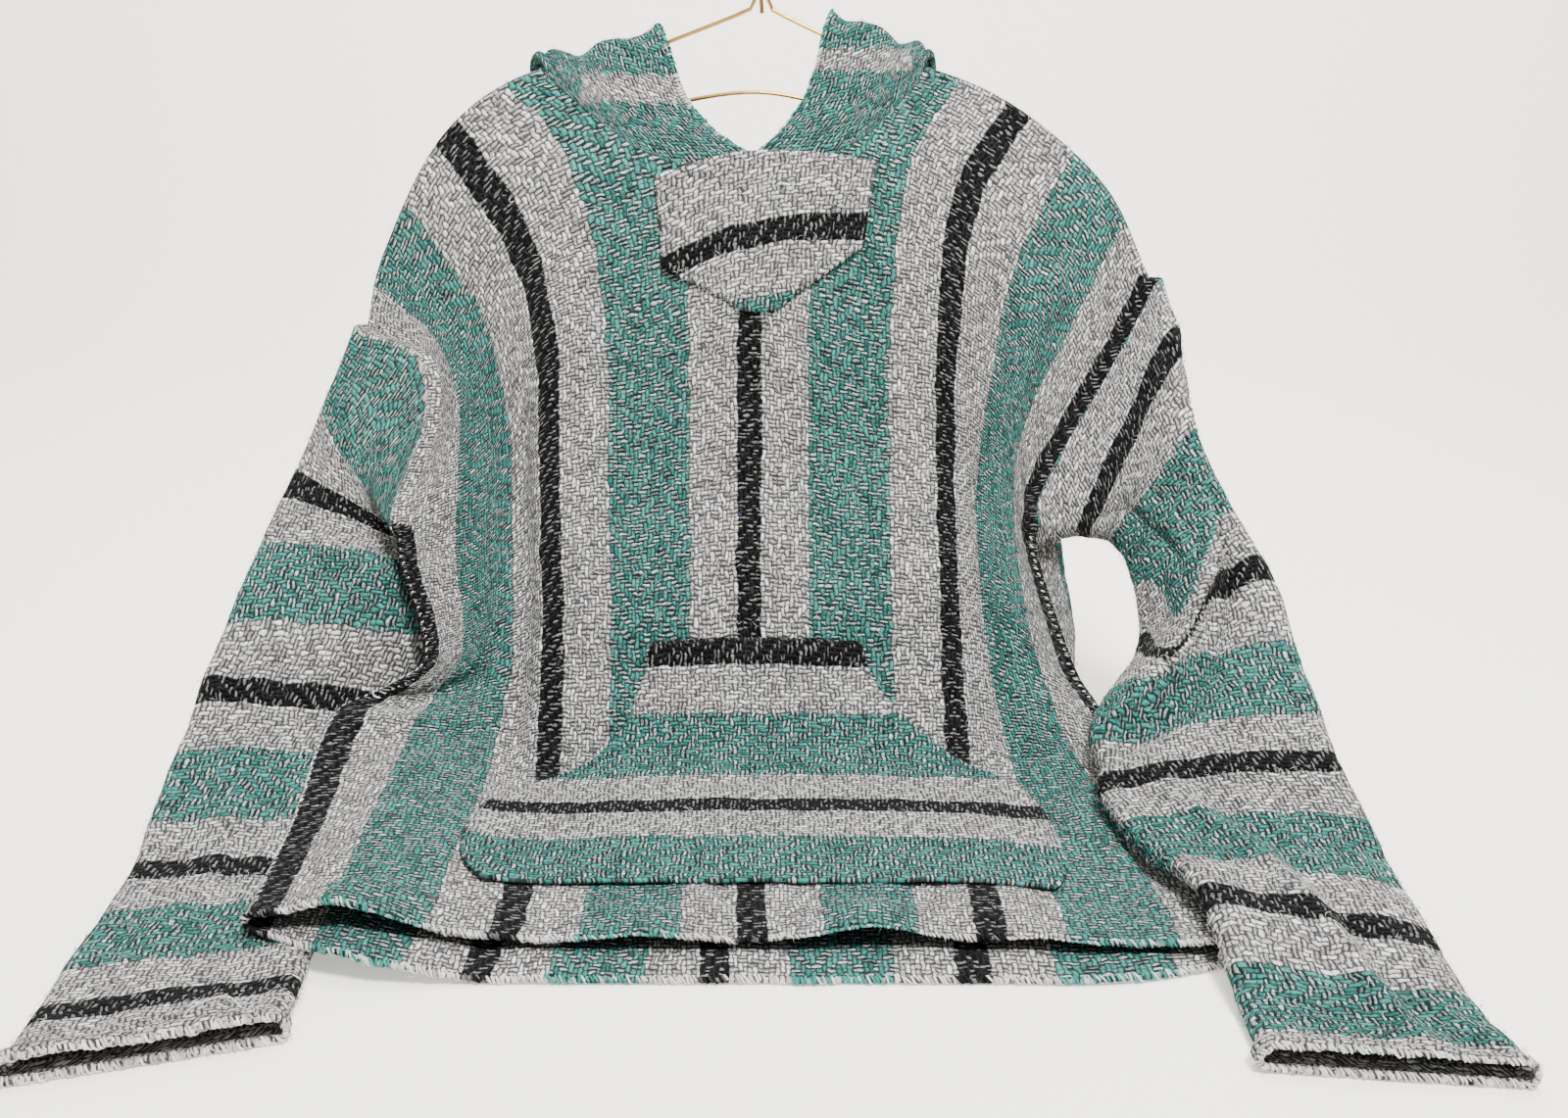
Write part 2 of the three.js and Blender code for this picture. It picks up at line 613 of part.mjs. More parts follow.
function topNormal(across, isFront) {
  // Normal along the top edge of a panel: the neckline, and outside it the shoulder fold.
  if (Math.abs(across) < NECK_HALF_WIDTH) {
    return isFront ? normalAt(frontPoint, across, neckline(across))
      : normalAt(backBase, across, backNeckline(across)).negate();
  }
  return shoulderUp(across);
}

function seamNormals(normals, cloth, isFront) {
  // Along the top edge and the closed side seams the pieces that meet share their normals.
  normals.forEach((row, i) => row.forEach((normal, j) => {
    const [across, down] = cloth[i][j];
    if (i === 0) {
      normal.copy(topNormal(across, isFront));
    } else if (Math.abs(across) === HALF_WIDTH && down >= UNDERARM) {
      normal.copy(edgeFrame(sides[across < 0 ? 0 : 1], down).outward);
    }
  }));
}

const front = bodyGrid(frontPoint, neckline);
const back = bodyGrid(backBase, backNeckline);
front.normals = front.cloth.map((row) => row.map(([across, down]) => (
  normalAt(frontPoint, across, down))));
back.normals = back.cloth.map((row) => row.map(([across, down]) => (
  normalAt(backBase, across, down).negate())));
seamNormals(front.normals, front.cloth, true);
seamNormals(back.normals, back.cloth, false);

// ---------------------------------------------------------------- sleeves
const RING_FRONT = BODY_ROWS.slice(0, BEND_ROWS.length + ARMHOLE_ROWS.length);
const SLEEVE_STOPS = [0, 20, 60, 105, 150, 190, 230, 270, 315, 360, 410, 460, 520, 580];

function sectionPoint(section, down, face, normal, outward) {
  // A point of a flattened tube: its fold at the shoulder side, a face, its fold underneath.
  const outer = fromArray(section.outer).addScaledVector(outward, -section.half);
  const inner = fromArray(section.inner).addScaledVector(outward, section.half);
  const turn = (angle, sign) => normal.clone().multiplyScalar(face * Math.sin(angle))
    .addScaledVector(outward, sign * Math.cos(angle)).multiplyScalar(section.half);
  if (down <= ROLL) {
    return outer.add(turn((down / ROLL) * 0.5 * Math.PI, 1));
  }
  if (down > ARMHOLE) {
    return inner.add(turn(((UNDERARM - down) / (UNDERARM - ARMHOLE)) * 0.5 * Math.PI, -1));
  }
  const share = (down - ROLL) / (ARMHOLE - ROLL);
  const bow = section.half + (face > 0 ? section.bow * Math.sin(Math.PI * share) : 0);
  return outer.lerp(inner, share).addScaledVector(normal, face * bow);
}

function sleeveRings(sections, edgeColumn) {
  // The first ring is the armhole itself; each ring starts at the shoulder, comes down the
  // front, passes under the arm and goes up the back.
  const lastRow = RING_FRONT.length - 1;
  const frontEdge = RING_FRONT.map((down, i) => front.grid[i][edgeColumn].clone());
  const backEdge = RING_FRONT.map((down, i) => back.grid[i][edgeColumn].clone());
  const frontNormals = RING_FRONT.map((down, i) => front.normals[i][edgeColumn].clone());
  const backNormals = RING_FRONT.map((down, i) => back.normals[i][edgeColumn].clone());
  const ring = (a, b) => [...a, ...b.slice(1, lastRow).reverse()];
  const rings = [{ along: 0, points: ring(frontEdge, backEdge) }];
  const middle = ({ outer, inner }) => fromArray(outer).add(fromArray(inner)).multiplyScalar(0.5);
  sections.forEach((section, i) => {
    const before = middle(sections[Math.max(i - 1, 0)]);
    const after = middle(sections[Math.min(i + 1, sections.length - 1)]);
    const outward = fromArray(section.outer).sub(fromArray(section.inner)).normalize();
    const normal = after.sub(before).cross(outward).normalize();
    if (normal.z - normal.y < 0) {
      normal.negate();
    }
    const face = (sign) => RING_FRONT.map((down) => (
      sectionPoint(section, down, sign, normal, outward)));
    rings.push({ along: section.along, points: ring(face(1), face(-1)) });
  });
  return { rings, edgeNormals: ring(frontNormals, backNormals) };
}

function sleeveGrid(sections, edgeColumn) {
  const { rings, edgeNormals } = sleeveRings(sections, edgeColumn);
  const length = sections[sections.length - 1].along;
  const lines = rings[0].points.map((start, j) => cubic(rings.map((ring) => ({
    along: ring.along, x: ring.points[j].x, y: ring.points[j].y, z: ring.points[j].z,
  })), 'along'));
  const stops = [...SLEEVE_STOPS, length];
  const grid = stops.map((along) => lines.map((line) => vector(line(along))));
  const count = lines.length;
  const cloth = stops.map((along) => lines.map((line, j) => [(j * 2 * ARMHOLE) / count, along]));
  const normals = gridNormals(grid, true);
  if (edgeColumn > 0) {
    normals.forEach((row) => row.forEach((normal) => normal.negate()));
  }
  normals[0] = edgeNormals;
  grid[0].forEach((point) => {
    point.x += edgeColumn > 0 ? SLEEVE_INSET : -SLEEVE_INSET;
  });
  return { grid, cloth, normals };
}

function mirroredOrder(piece) {
  // Reverses the columns, so that a left-hand piece has its faces pointing out.
  const reversed = (rows) => rows.map((row) => [...row].reverse());
  return {
    grid: reversed(piece.grid),
    cloth: reversed(piece.cloth),
    normals: reversed(piece.normals),
  };
}

// ---------------------------------------------------------------- hood
const NECK_SEAM = 270;          // length of half the neck seam, round to the nape
const HOOD_LENGTH = 350;        // from the neck seam to the top seam
const HOOD_STEPS = [0, 0.025, 0.055, 0.085, 0.17, 0.25, 0.33, 0.41, 0.52, 0.66, 0.8, 1];
const FRONT_ROUND = [0, ...NECK_COLUMNS].map((u) => Math.asin(u / NECK_HALF_WIDTH) / Math.PI);
const BACK_ROUND = FRONT_ROUND.slice(0, -1).map((round) => 1 - round).reverse();
const HOOD_ROUND = [...FRONT_ROUND, ...BACK_ROUND];

function neckSeam(round, sign) {
  // The neck seam from the front point over the shoulder to the nape, with its normal.
  const across = sign * NECK_HALF_WIDTH * Math.sin(Math.PI * round);
  const isFront = round <= 0.5;
  const point = isFront ? frontPoint(across, neckline(across))
    : backBase(across, backNeckline(across));
  return { point, normal: topNormal(across, isFront) };
}

function hoodGrid(sign) {
  const scale = sign < 0 ? 1 : RIGHT_HOOD_SCALE;
  const lines = HOOD_LINES.map(({ round, rows }) => {
    const seam = neckSeam(round, sign).point;
    const start = { reach: 0, x: seam.x * -sign, y: seam.y, z: seam.z };
    const scaled = rows.map((row) => {
      const lift = sign < 0 ? 0 : RIGHT_HOOD_LIFT * Math.max(1 - Math.abs(row.reach / 0.3 - 1), 0);
      return { ...row, x: row.x * scale, z: row.z + lift };
    });
    return { round, line: cubic([start, ...scaled], 'reach') };
  });
  const grid = HOOD_STEPS.map((reach) => HOOD_ROUND.map((round) => {
    if (reach === 0) {
      return neckSeam(round, sign).point;
    }
    const across = cubic(lines.map((entry) => ({ round: entry.round, ...entry.line(reach) })), 'round');
    const point = vector(across(round));
    point.x *= -sign;
    return point;
  }));
  const cloth = HOOD_STEPS.map((reach) => HOOD_ROUND.map((round) => (
    [round * NECK_SEAM, reach * HOOD_LENGTH])));
  const normals = gridNormals(grid, false).map((row) => row.map((normal) => (
    normal.multiplyScalar(-sign))));
  HOOD_ROUND.forEach((round, j) => {
    normals[0][j].copy(neckSeam(round, sign).normal);
    // Where front and back meet at the shoulder fold, the hood stands clear of both.
    grid[0][j].z += CLOTH * Math.max(1 - Math.abs(round - 0.5) / SHOULDER_REACH, 0);
  });
  const middleSeam = [...normals.map((row) => row[row.length - 1]), ...normals[normals.length - 1]];
  middleSeam.forEach((normal) => normal.setX(0).normalize());
  return { grid, cloth, normals };
}

// ---------------------------------------------------------------- pieces on the front
function liftedPiece(cloth, lift) {
  const grid = cloth.map((row, i) => row.map(([across, down], j) => (
    frontPoint(across, down).addScaledVector(normalAt(frontPoint, across, down), lift(i, j)))));
  return { grid, cloth, normals: gridNormals(grid, false) };
}

function pocketPiece() {
  const columns = 12;
  const outline = cubic(POCKET, 'down');
  const cloth = POCKET_ROWS.map((down) => {
    const { left, right } = outline(down);
    return Array.from({ length: columns + 1 }, (_, j) => (
      [left + ((right - left) * j) / columns, down]));
  });
  const rows = POCKET_ROWS.length - 1;
  return liftedPiece(cloth, (i, j) => (
    POCKET_LIFT + POCKET_PUFF * Math.sin((Math.PI * i) / rows) * Math.sin((Math.PI * j) / columns)));
}

function patchPiece() {
  const rows = 6;
  const cloth = Array.from({ length: rows + 1 }, (_, i) => PATCH.map(({ across, top, bottom }) => (
    [across, top + ((bottom - top) * i) / rows])));
  return liftedPiece(cloth, () => PATCH_LIFT);
}

// ---------------------------------------------------------------- hanger
function wire(points, steps) {
  const path = new THREE.CatmullRomCurve3(points, false, 'centripetal');
  const section = new THREE.Shape();
  const corners = 8;
  for (let k = 0; k < corners; k += 1) {
    const angle = (2 * Math.PI * k) / corners;
    const x = 0.5 * WIRE * Math.cos(angle);
    const y = 0.5 * WIRE * Math.sin(angle);
    if (k === 0) {
      section.moveTo(x, y);
    } else {
      section.lineTo(x, y);
    }
  }
  return new THREE.ExtrudeGeometry(section, { steps, extrudePath: path, bevelEnabled: false });
}

function hangerFrame() {
  const half = (sign) => HANGER_SHOULDER.map(({ x, z }) => new THREE.Vector3(sign * x, 0, z));
  const points = [...half(-1), new THREE.Vector3(0, 0, BAR_CROWN), ...half(1).reverse()];
  const neck = new THREE.Vector3(0, 0, HANGER_SHOULDER[0].z);
  const tilt = THREE.MathUtils.degToRad(HANGER_TILT);
  const across = new THREE.Vector3(0, 1, 0);
  points.forEach((point) => point.sub(neck).applyAxisAngle(across, tilt).add(neck));
  return wire(points, 84);
}

function hangerHook() {
  const centre = HOOK_HEIGHT - HOOK_RADIUS;
  const radius = HOOK_RADIUS + 0.5 * WIRE;
  const points = [new THREE.Vector3(0, 0, NECK_HEIGHT), new THREE.Vector3(0, 0, centre - radius - 12)];
  for (let degrees = -60; degrees <= 190; degrees += 25) {
    const angle = THREE.MathUtils.degToRad(degrees);
    points.push(new THREE.Vector3(radius * Math.cos(angle), 0, centre + radius * Math.sin(angle)));
  }
  return wire(points, 48);
}

// ---------------------------------------------------------------- assembly
const CLOTH_LOOK = { roughness: 0.95, metalness: 0 };
const TEAL = { color: 0x5fa79b, ...CLOTH_LOOK };
const GREY = { color: 0xb9b6b6, ...CLOTH_LOOK };
const BRASS = { color: 0xb08d4f, roughness: 0.35, metalness: 1 };

const garment = new THREE.Group();
garment.position.set(-HANGER_X, 0, -HOOK_HEIGHT);

function addMesh(parent, name, geometry, look) {
  const mesh = new THREE.Mesh(geometry, new THREE.MeshStandardMaterial(look));
  mesh.name = name;
  parent.add(mesh);
}

function addCloth(name, piece, look, edges, closed = false) {
  const insets = Object.fromEntries(edges.map((edge) => [edge, SEAM_INSET]));
  inset(piece.grid, insets);
  addMesh(garment, name, clothShell(piece.grid, piece.normals, piece.cloth, closed), look);
}

const lastColumn = BODY_COLUMNS.length - 1;
const leftSleeve = sleeveGrid(LEFT_SLEEVE, 0);
const rightSleeve = sleeveGrid(RIGHT_SLEEVE, lastColumn);
addCloth('sleeve_left', leftSleeve, TEAL, [], true);
addCloth('sleeve_right', mirroredOrder(rightSleeve), TEAL, [], true);
addCloth('hood_left', hoodGrid(-1), TEAL, ['top', 'bottom', 'right']);
addCloth('hood_right', mirroredOrder(hoodGrid(1)), TEAL, ['top', 'bottom', 'left']);
addCloth('body_front', front, GREY, ['top', 'left', 'right']);
addCloth('body_back', mirroredOrder(back), GREY, ['top', 'left', 'right']);
addCloth('pouch_pocket', pocketPiece(), TEAL, []);
addCloth('neck_patch', patchPiece(), GREY, []);

const hanger = new THREE.Group();
hanger.position.set(HANGER_X, 0, 0);
addMesh(hanger, 'hanger_frame', hangerFrame(), BRASS);
addMesh(hanger, 'hanger_hook', hangerHook(), BRASS);
garment.add(hanger);

export default garment;
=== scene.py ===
"""Baja hoodie on a wire hanger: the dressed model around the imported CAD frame."""
import math

import bpy
import numpy as np
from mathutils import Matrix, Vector


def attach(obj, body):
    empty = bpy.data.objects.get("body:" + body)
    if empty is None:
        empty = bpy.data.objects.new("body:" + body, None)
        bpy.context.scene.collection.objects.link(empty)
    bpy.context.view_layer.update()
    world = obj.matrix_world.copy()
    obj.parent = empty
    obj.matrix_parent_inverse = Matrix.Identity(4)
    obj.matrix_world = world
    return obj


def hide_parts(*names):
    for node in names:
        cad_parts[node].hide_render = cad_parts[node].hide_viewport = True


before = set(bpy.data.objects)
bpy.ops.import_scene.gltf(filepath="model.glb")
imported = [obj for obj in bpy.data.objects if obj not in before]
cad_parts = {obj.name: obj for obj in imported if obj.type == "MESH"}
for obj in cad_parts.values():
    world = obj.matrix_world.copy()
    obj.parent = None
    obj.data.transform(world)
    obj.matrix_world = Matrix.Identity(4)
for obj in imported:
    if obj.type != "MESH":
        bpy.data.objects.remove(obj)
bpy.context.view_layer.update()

# ---- driving sizes, millimetres
HOOK_HEIGHT = 600.0  # inside top of the hook above the table
HANGER_X = 5.0  # the hanger hangs this far off the garment's centre line
CLOTH = 3.0  # thickness of the woven cloth
HALF_WIDTH = 307.5  # half the width of a body panel
HEM = 747.0  # length of a body panel
ARMHOLE = 230.0  # the armhole ends this far down from the shoulder
UNDERARM = 245.0  # and below this the side seam is closed
ARMHOLE_OPEN = 8.0  # the armhole gapes this far to each side of its middle line
FOLD_RADIUS = 6.0  # of the shoulder fold and the side seams
ROLL = 0.5 * math.pi * FOLD_RADIUS  # cloth in a quarter turn of them
SEAM_GAP = 0.4  # between a sleeve and the armhole
EDGE = HALF_WIDTH - ROLL  # a panel's edge rolls in from here
NECK_HALF_WIDTH = 85.0
NECK_DEPTH = 95.0
BACK_NECK_DEPTH = 1.12  # the back neckline's depth over the front one's
NECK_SEAM = 270.0  # half the neck seam, from the front point to the nape
HOOD_LENGTH = 350.0
LEVEL_ROW = 345.0  # rows of the grids above this follow the neckline
GRID = 4.0  # spacing of the fine cloth grids
PIECE_LIFT = 4.2  # pocket and patch lie this far out from the front panel's middle
POCKET_PUFF = 5.0  # and the pocket stands off this much more in its middle
BACK_BULGE = 48.0  # the back swings out beside the hole at the right arm
BULGE_FORWARD = 0.35  # and comes forward by this share of that,
BACK_SWING = (230, 330, 400, 500)  # between these places down
SIDE_SHIFT = 0.8  # the back's side lines keep this share of BACK_SHIFT
NECK_FINE = [0.16, 0.12, 0.085, 0.056, 0.034, 0.018, 0.008, 0.002, 0]  # columns near its sides
EDGE_PUSH = 0.45  # a cut edge is rounded outwards by this share of the cloth
RIPPLES = (90, 60, 40, 26, 17)  # wave lengths of the soft unevenness
HEM_RISE, HEM_GROOVE = 3.0, 2.0  # of a cuff's turned hem and its seam
SPREAD_FLAT = (300, 500)  # above these places down the cloth hangs, below them it lies
STRIPE_LINE, SIDE_LINE = 150.0, 225.0  # places across of the tables' stripe and side lines
PITCH = 150.0  # the stripes repeat after this width of cloth
BLACK, WHITE, TEAL = 18.0, 36.0, 60.0
BLACK_EDGE = 0.5 * BLACK  # the repeat starts in the middle of a black stripe

# ---- tables of the garment
# Lengthwise lines of the front panel: cloth from the shoulder, then the place of the line.
CENTRE = [
    (0, 2, 0, 503), (95, 0, -35, 415), (195, -5, -70, 321), (300, -5, -99, 220),
    (408, -5, -154, 127), (470, -5, -187, 66), (545, -5, -236, 17), (650, -2, -333, 12),
    (747, 2, -433, 11)]
LEFT_STRIPE = [
    (0, -229, 0, 433), (95, -172, -50, 358), (195, -151, -78, 285), (300, -148, -108, 198),
    (408, -143, -158, 115), (470, -142, -190, 64), (545, -141, -238, 18), (650, -140, -333, 12),
    (747, -139, -433, 11)]
RIGHT_STRIPE = [
    (0, 192, 0, 450), (80, 150, -44, 388), (195, 137, -78, 290), (300, 136, -106, 200),
    (408, 137, -158, 117), (470, 138, -190, 65), (545, 139, -238, 18), (650, 138, -333, 12),
    (747, 138, -433, 11)]
LEFT_SIDE = [
    (0, -277, -12, 347), (95, -217, -55, 283), (195, -198, -92, 212), (300, -194, -125, 143),
    (408, -192, -165, 84), (470, -203, -195, 48), (545, -208, -245, 31), (650, -210, -345, 28),
    (747, -212, -438, 27)]
RIGHT_SIDE = [
    (0, 257, -9, 396), (95, 211, -50, 318), (195, 186, -75, 248), (300, 174, -108, 180),
    (408, 176, -160, 108), (470, 187, -195, 55), (545, 203, -240, 18), (650, 208, -345, 11),
    (747, 212, -438, 10)]
# The two edges: the line midway between front and back, armhole first and then side seam.
LEFT_EDGE = [
    (0, -292, -28, 292), (60, -236, -60, 272), (115, -226, -83, 232), (175, -238, -110, 192),
    (230, -246, -135, 165), (300, -242, -148, 136), (350, -228, -165, 101), (400, -226, -185, 78),
    (440, -250, -200, 66), (480, -278, -222, 56), (600, -279, -330, 29), (747, -275, -440, 25)]
RIGHT_EDGE = [
    (0, 287, -40, 334), (75, 250, -60, 266), (125, 223, -77, 222), (180, 196, -103, 178),
    (230, 193, -122, 160), (300, 201, -141, 124), (345, 209, -155, 101), (400, 220, -175, 71),
    (450, 234, -192, 50), (540, 258, -262, 14), (640, 280, -345, 7.5), (747, 292, -438, 7.5)]
# The opened neck pushes its two sides outwards (x) and up (z).
LEFT_SPREAD = [
    (0, -31, 0, 12), (50, -10, 0, 20), (95, -4, 0, 12), (195, 0, 0, 0)]
RIGHT_SPREAD = [
    (0, 16, 0, 3), (50, 9, 0, 12), (95, 4, 0, 10), (195, 0, 0, 0)]
# The back panel hangs this far behind (y) and below (z) the front.
BACK_SHIFT = [
    (0, 0, 0, 0), (50, 0, 36, -6), (100, 0, 46, -8), (200, 0, 56, -10), (300, 0, 58, -10),
    (408, 0, 60, -13), (470, 0, 50, -22), (545, 0, 31, -15), (600, 0, 16, -15), (650, 0, 2, -15),
    (747, 0, -28, -15)]
# Sleeve sections: cloth from the armhole, outer edge, inner edge, half thickness, bow of the front.
LEFT_SLEEVE = [
    (60, (-318, -55, 236), (-266, -112, 172), 10, 5),
    (120, (-345, -98, 172), (-254, -112, 146), 9, 7),
    (190, (-363, -155, 124), (-228, -124, 104), 8, 9),
    (250, (-371, -218, 80), (-240, -154, 36), 7, 6),
    (325, (-379, -285, 36), (-243, -235, 9), 6, 3),
    (405, (-377, -360, 9), (-246, -347, 7.5), 6, 0),
    (480, (-375, -437, 7.5), (-247, -414, 7.5), 6, 0),
    (555, (-370, -515, 7.5), (-243, -480, 7.5), 6, 0),
    (610, (-371, -556, 7.5), (-239, -517, 7.5), 6, 0)]
RIGHT_SLEEVE = [
    (45, (302, -86, 292), (234, -128, 158), 11, 6),
    (120, (325, -130, 208), (262, -138, 148), 11, 12),
    (195, (352, -180, 150), (272, -170, 90), 11, 12),
    (260, (363, -245, 98), (243, -216, 58), 9, 8),
    (345, (371, -308, 60), (226, -286, 34), 7, 6),
    (415, (385, -360, 24), (240, -350, 27), 6, 6),
    (495, (384, -447, 12), (260, -424, 32), 6, 2),
    (560, (387, -516, 7.5), (263, -494, 10), 6, 0),
    (625, (394, -557, 7.5), (264, -543, 7.5), 6, 0)]
# Half of the hood: for each place round the neck seam, its line from there (share of the way
# to the top seam, then the place).
HOOD_LINES = [
    (0, [(0.08, -29, -34, 434), (0.17, -50, -25, 457), (0.32, -64, -10, 496), (0.4, -70, 6, 505),
         (0.55, -70, 36, 470), (0.75, -54, 55, 420), (1, 0, 58, 388)]),
    (0.26, [(0.085, -95, -32, 446), (0.17, -104, -17, 473), (0.27, -110, 0, 494),
         (0.4, -116, 30, 470), (0.62, -108, 54, 390), (1, 0, 58, 334)]),
    (0.415, [(0.055, -131, -20, 465), (0.1, -137, -10, 479), (0.15, -141, 2, 487),
         (0.2, -145, 16, 483), (0.32, -146, 41, 448), (0.62, -128, 55, 352), (1, 0, 58, 300)]),
    (0.465, [(0.025, -139, -17, 466), (0.055, -146, -7, 475), (0.1, -152, 5, 484),
         (0.15, -155, 16, 484), (0.2, -157, 26, 477), (0.32, -154, 42, 442), (0.62, -136, 52, 330),
         (1, 0, 58, 284)]),
    (0.5, [(0.025, -156, 4, 486), (0.055, -163, 14, 485), (0.085, -167, 23, 474),
         (0.26, -162, 34, 417), (0.5, -143, 44, 340), (0.75, -90, 55, 280), (1, 0, 58, 270)]),
    (0.535, [(0.025, -132, 23, 462), (0.055, -135, 28, 461), (0.085, -138, 31, 453),
         (0.26, -147, 28, 402), (0.5, -136, 36, 325), (0.75, -90, 51, 268), (1, 0, 58, 258)]),
    (0.585, [(0.025, -113, 17, 440), (0.055, -114, 23, 439), (0.085, -117, 26, 431),
         (0.3, -130, 27, 372), (0.55, -126, 33, 305), (0.8, -78, 50, 250), (1, 0, 58, 242)]),
    (0.75, [(0.025, -72, 15, 410), (0.055, -74, 21, 411), (0.085, -76, 25, 403),
         (0.35, -97, 26, 330), (0.6, -106, 29, 255), (0.8, -72, 45, 214), (1, 0, 57, 206)]),
    (1, [(0.025, 0, 17, 407), (0.055, 0, 25, 410), (0.085, 0, 31, 402), (0.35, 0, 33, 325),
         (0.6, 0, 33, 250), (0.85, 0, 34, 182), (1, 0, 48, 166)])]
RIGHT_HOOD_SCALE = 0.8
RIGHT_HOOD_LIFT = 12.0  # most at this share of its length:
RIGHT_HOOD_RIM = 0.3
# Pocket: its left and right edges at each level; patch: top and bottom at each place across.
POCKET = [
    (440, -72, 83), (470, -80, 94), (500, -92, 120), (525, -112, 146), (545, -138, 175),
    (562, -165, 195), (590, -186, 206), (630, -192, 210), (668, -188, 208), (690, -172, 198)]
PATCH = [
    (-60, 98, 163), (-40, 96, 178), (-20, 93, 193), (-3, 92, 205), (20, 92, 205), (34, 91, 191),
    (60, 89, 166), (83, 87, 144)]

# Folds and creases: the line (across, down), widths on its two sides, height (below zero for a
# trough). FADE says where, in shares of the line, a crease rises from the cloth and sinks again.
FOLD_FADE = (-0.15, 0.3, 0.75, 1.2)
CREASE_FADE = (-0.12, 0.22, 0.78, 1.12)
FRONT_FOLDS = [
    ([(-176, 190), (-180, 560)], 13, 13, -9),
    ([(196, 230), (200, 520)], 14, 14, -8),
    ([(-245, 60), (-262, 250)], 20, 20, 9),
    ([(78, 712), (74, 770)], 34, 34, 9),
    ([(-232, 705), (-236, 770)], 26, 26, 4)]
FRONT_CREASES = [
    ([(-307, 452), (-262, 446), (-214, 424)], 9, 12, -8),
    ([(-300, 486), (-250, 480), (-205, 462)], 12, 18, 5),
    ([(-262, 520), (-248, 600), (-262, 690)], 22, 14, 4),
    ([(-118, 60), (-104, 120), (-112, 210)], 18, 14, 3),
    ([(112, 70), (98, 130), (104, 220)], 14, 20, 3),
    ([(228, 60), (222, 130), (236, 210)], 16, 12, 5),
    ([(-178, 190), (-184, 380), (-180, 560)], 16, 13, -5),
    ([(-206, 240), (-210, 420)], 12, 14, 4),
    ([(212, 220), (222, 340), (214, 470)], 15, 12, -6),
    ([(262, 500), (246, 570), (238, 650)], 14, 20, 4),
    ([(288, 520), (272, 590), (262, 670)], 12, 10, -4),
    ([(-252, 712), (-254, 780)], 30, 24, 6),
    ([(-66, 715), (-62, 780)], 20, 30, 3),
    ([(180, 712), (184, 780)], 26, 20, 3)]
BACK_CREASES = [
    ([(-130, 140), (-160, 330), (-150, 520)], 16, 26, 7),
    ([(-60, 220), (-40, 420), (-70, 560)], 22, 18, -5),
    ([(70, 180), (110, 380), (90, 560)], 18, 24, 6),
    ([(180, 120), (206, 300), (190, 480)], 16, 12, -6),
    ([(-240, 420), (-200, 520), (-215, 660)], 14, 22, 4),
    ([(20, 560), (36, 650), (30, 780)], 26, 22, 4)]
# On a sleeve: (round from the outer fold, the front above zero; along from the armhole).
LEFT_CREASES = [
    ([(30, 80), (92, 150), (188, 178)], 12, 18, 4),
    ([(150, 235), (176, 330), (150, 420)], 12, 16, -4),
    ([(60, 290), (88, 400), (70, 500)], 16, 20, 3),
    ([(-60, 110), (-120, 230)], 18, 16, 6),
    ([(-150, 300), (-70, 470)], 16, 18, -5)]
RIGHT_CREASES = [
    ([(4, 40), (40, 122), (55, 180), (80, 198), (125, 245), (160, 268), (236, 302)], 46, 4, 17),
    ([(-6, 64), (22, 126), (38, 186), (62, 213), (112, 262), (150, 286), (236, 322)], 6, 17, -10),
    ([(216, 48), (165, 128), (102, 172)], 8, 8, -5),
    ([(170, 352), (118, 500), (82, 600)], 14, 12, 5),
    ([(142, 345), (92, 490), (58, 590)], 12, 16, -4),
    ([(-50, 100), (-110, 230), (-90, 340)], 18, 14, 7),
    ([(-160, 280), (-90, 430)], 12, 18, -5)]
# Where the stripes step or stop, in millimetres of cloth. The left armhole's black edge is
# turned in: beyond this place across, until these places down.
LEFT_TURN_IN = (286.0, 222, 242)
SIDE_BAND = (250, 285)  # the side stripes shift beyond these places across
RIGHT_SIDE_SHIFT = (5.0, 235, 260, 420, 460)  # the black lies open below the right arm
LEFT_SIDE_SHIFT = (7.0, 400, 450)  # and is wider down the left side seam
BACK_ASKEW = (24.0, 480, 680)  # the back lies a little askew under the front at the hem
LOOP_SHIFT = 62.0  # the right sleeve's loop carries its stripes this far along
LOOP_MIDDLE = (125.0, 225.0)  # middle of the loop: round the sleeve, along it
LOOP_REACH = (66.0, 90.0, 62.0)  # round the sleeve, towards the armhole, towards the cuff
LOOP_STEP = 3.0  # the stripes step within this distance of the ridge's line
# Middle of the patch's black stripe: place across, place down the front.
PATCH_BLACK = [(-60, 162), (-28, 155), (0, 151), (37, 141), (83, 130)]
PATCH_WHITE = -26.0  # above its black stripe the patch stays white
POCKET_BLACK = 5.0  # the pocket's first black stripe is cut this far above its middle
POCKET_WHITE = -2.0  # and nothing of it is left out above this place
HOOD_TEAL = 75.0  # the hood is teal in the middle of the stripe repeat's teal
HOOD_PLAIN = 190.0  # and its next stripes begin this far from the neck seam
HOOD_FOLD = (0.36, 505.0)  # the hood folds over at this share of its length and this height
HOOD_WHITE = (0.97, 0.5)  # its white band ends at these shares of its height and length
# For the left (-1) and the right: the band lies between two heights, this far out at most.
HOOD_BAND = {-1: (451, 473, 126), 1: (474, 490, 113)}
SLEEVE_START = {-1: 44.5, 1: 105.5}  # place in the stripes at the armhole
CUFF_WHITE = {-1: 626.0, 1: 726.0}  # beyond these places a cuff's stripe stays the same
CUFF_HEM = 15.0  # depth of a cuff's turned hem


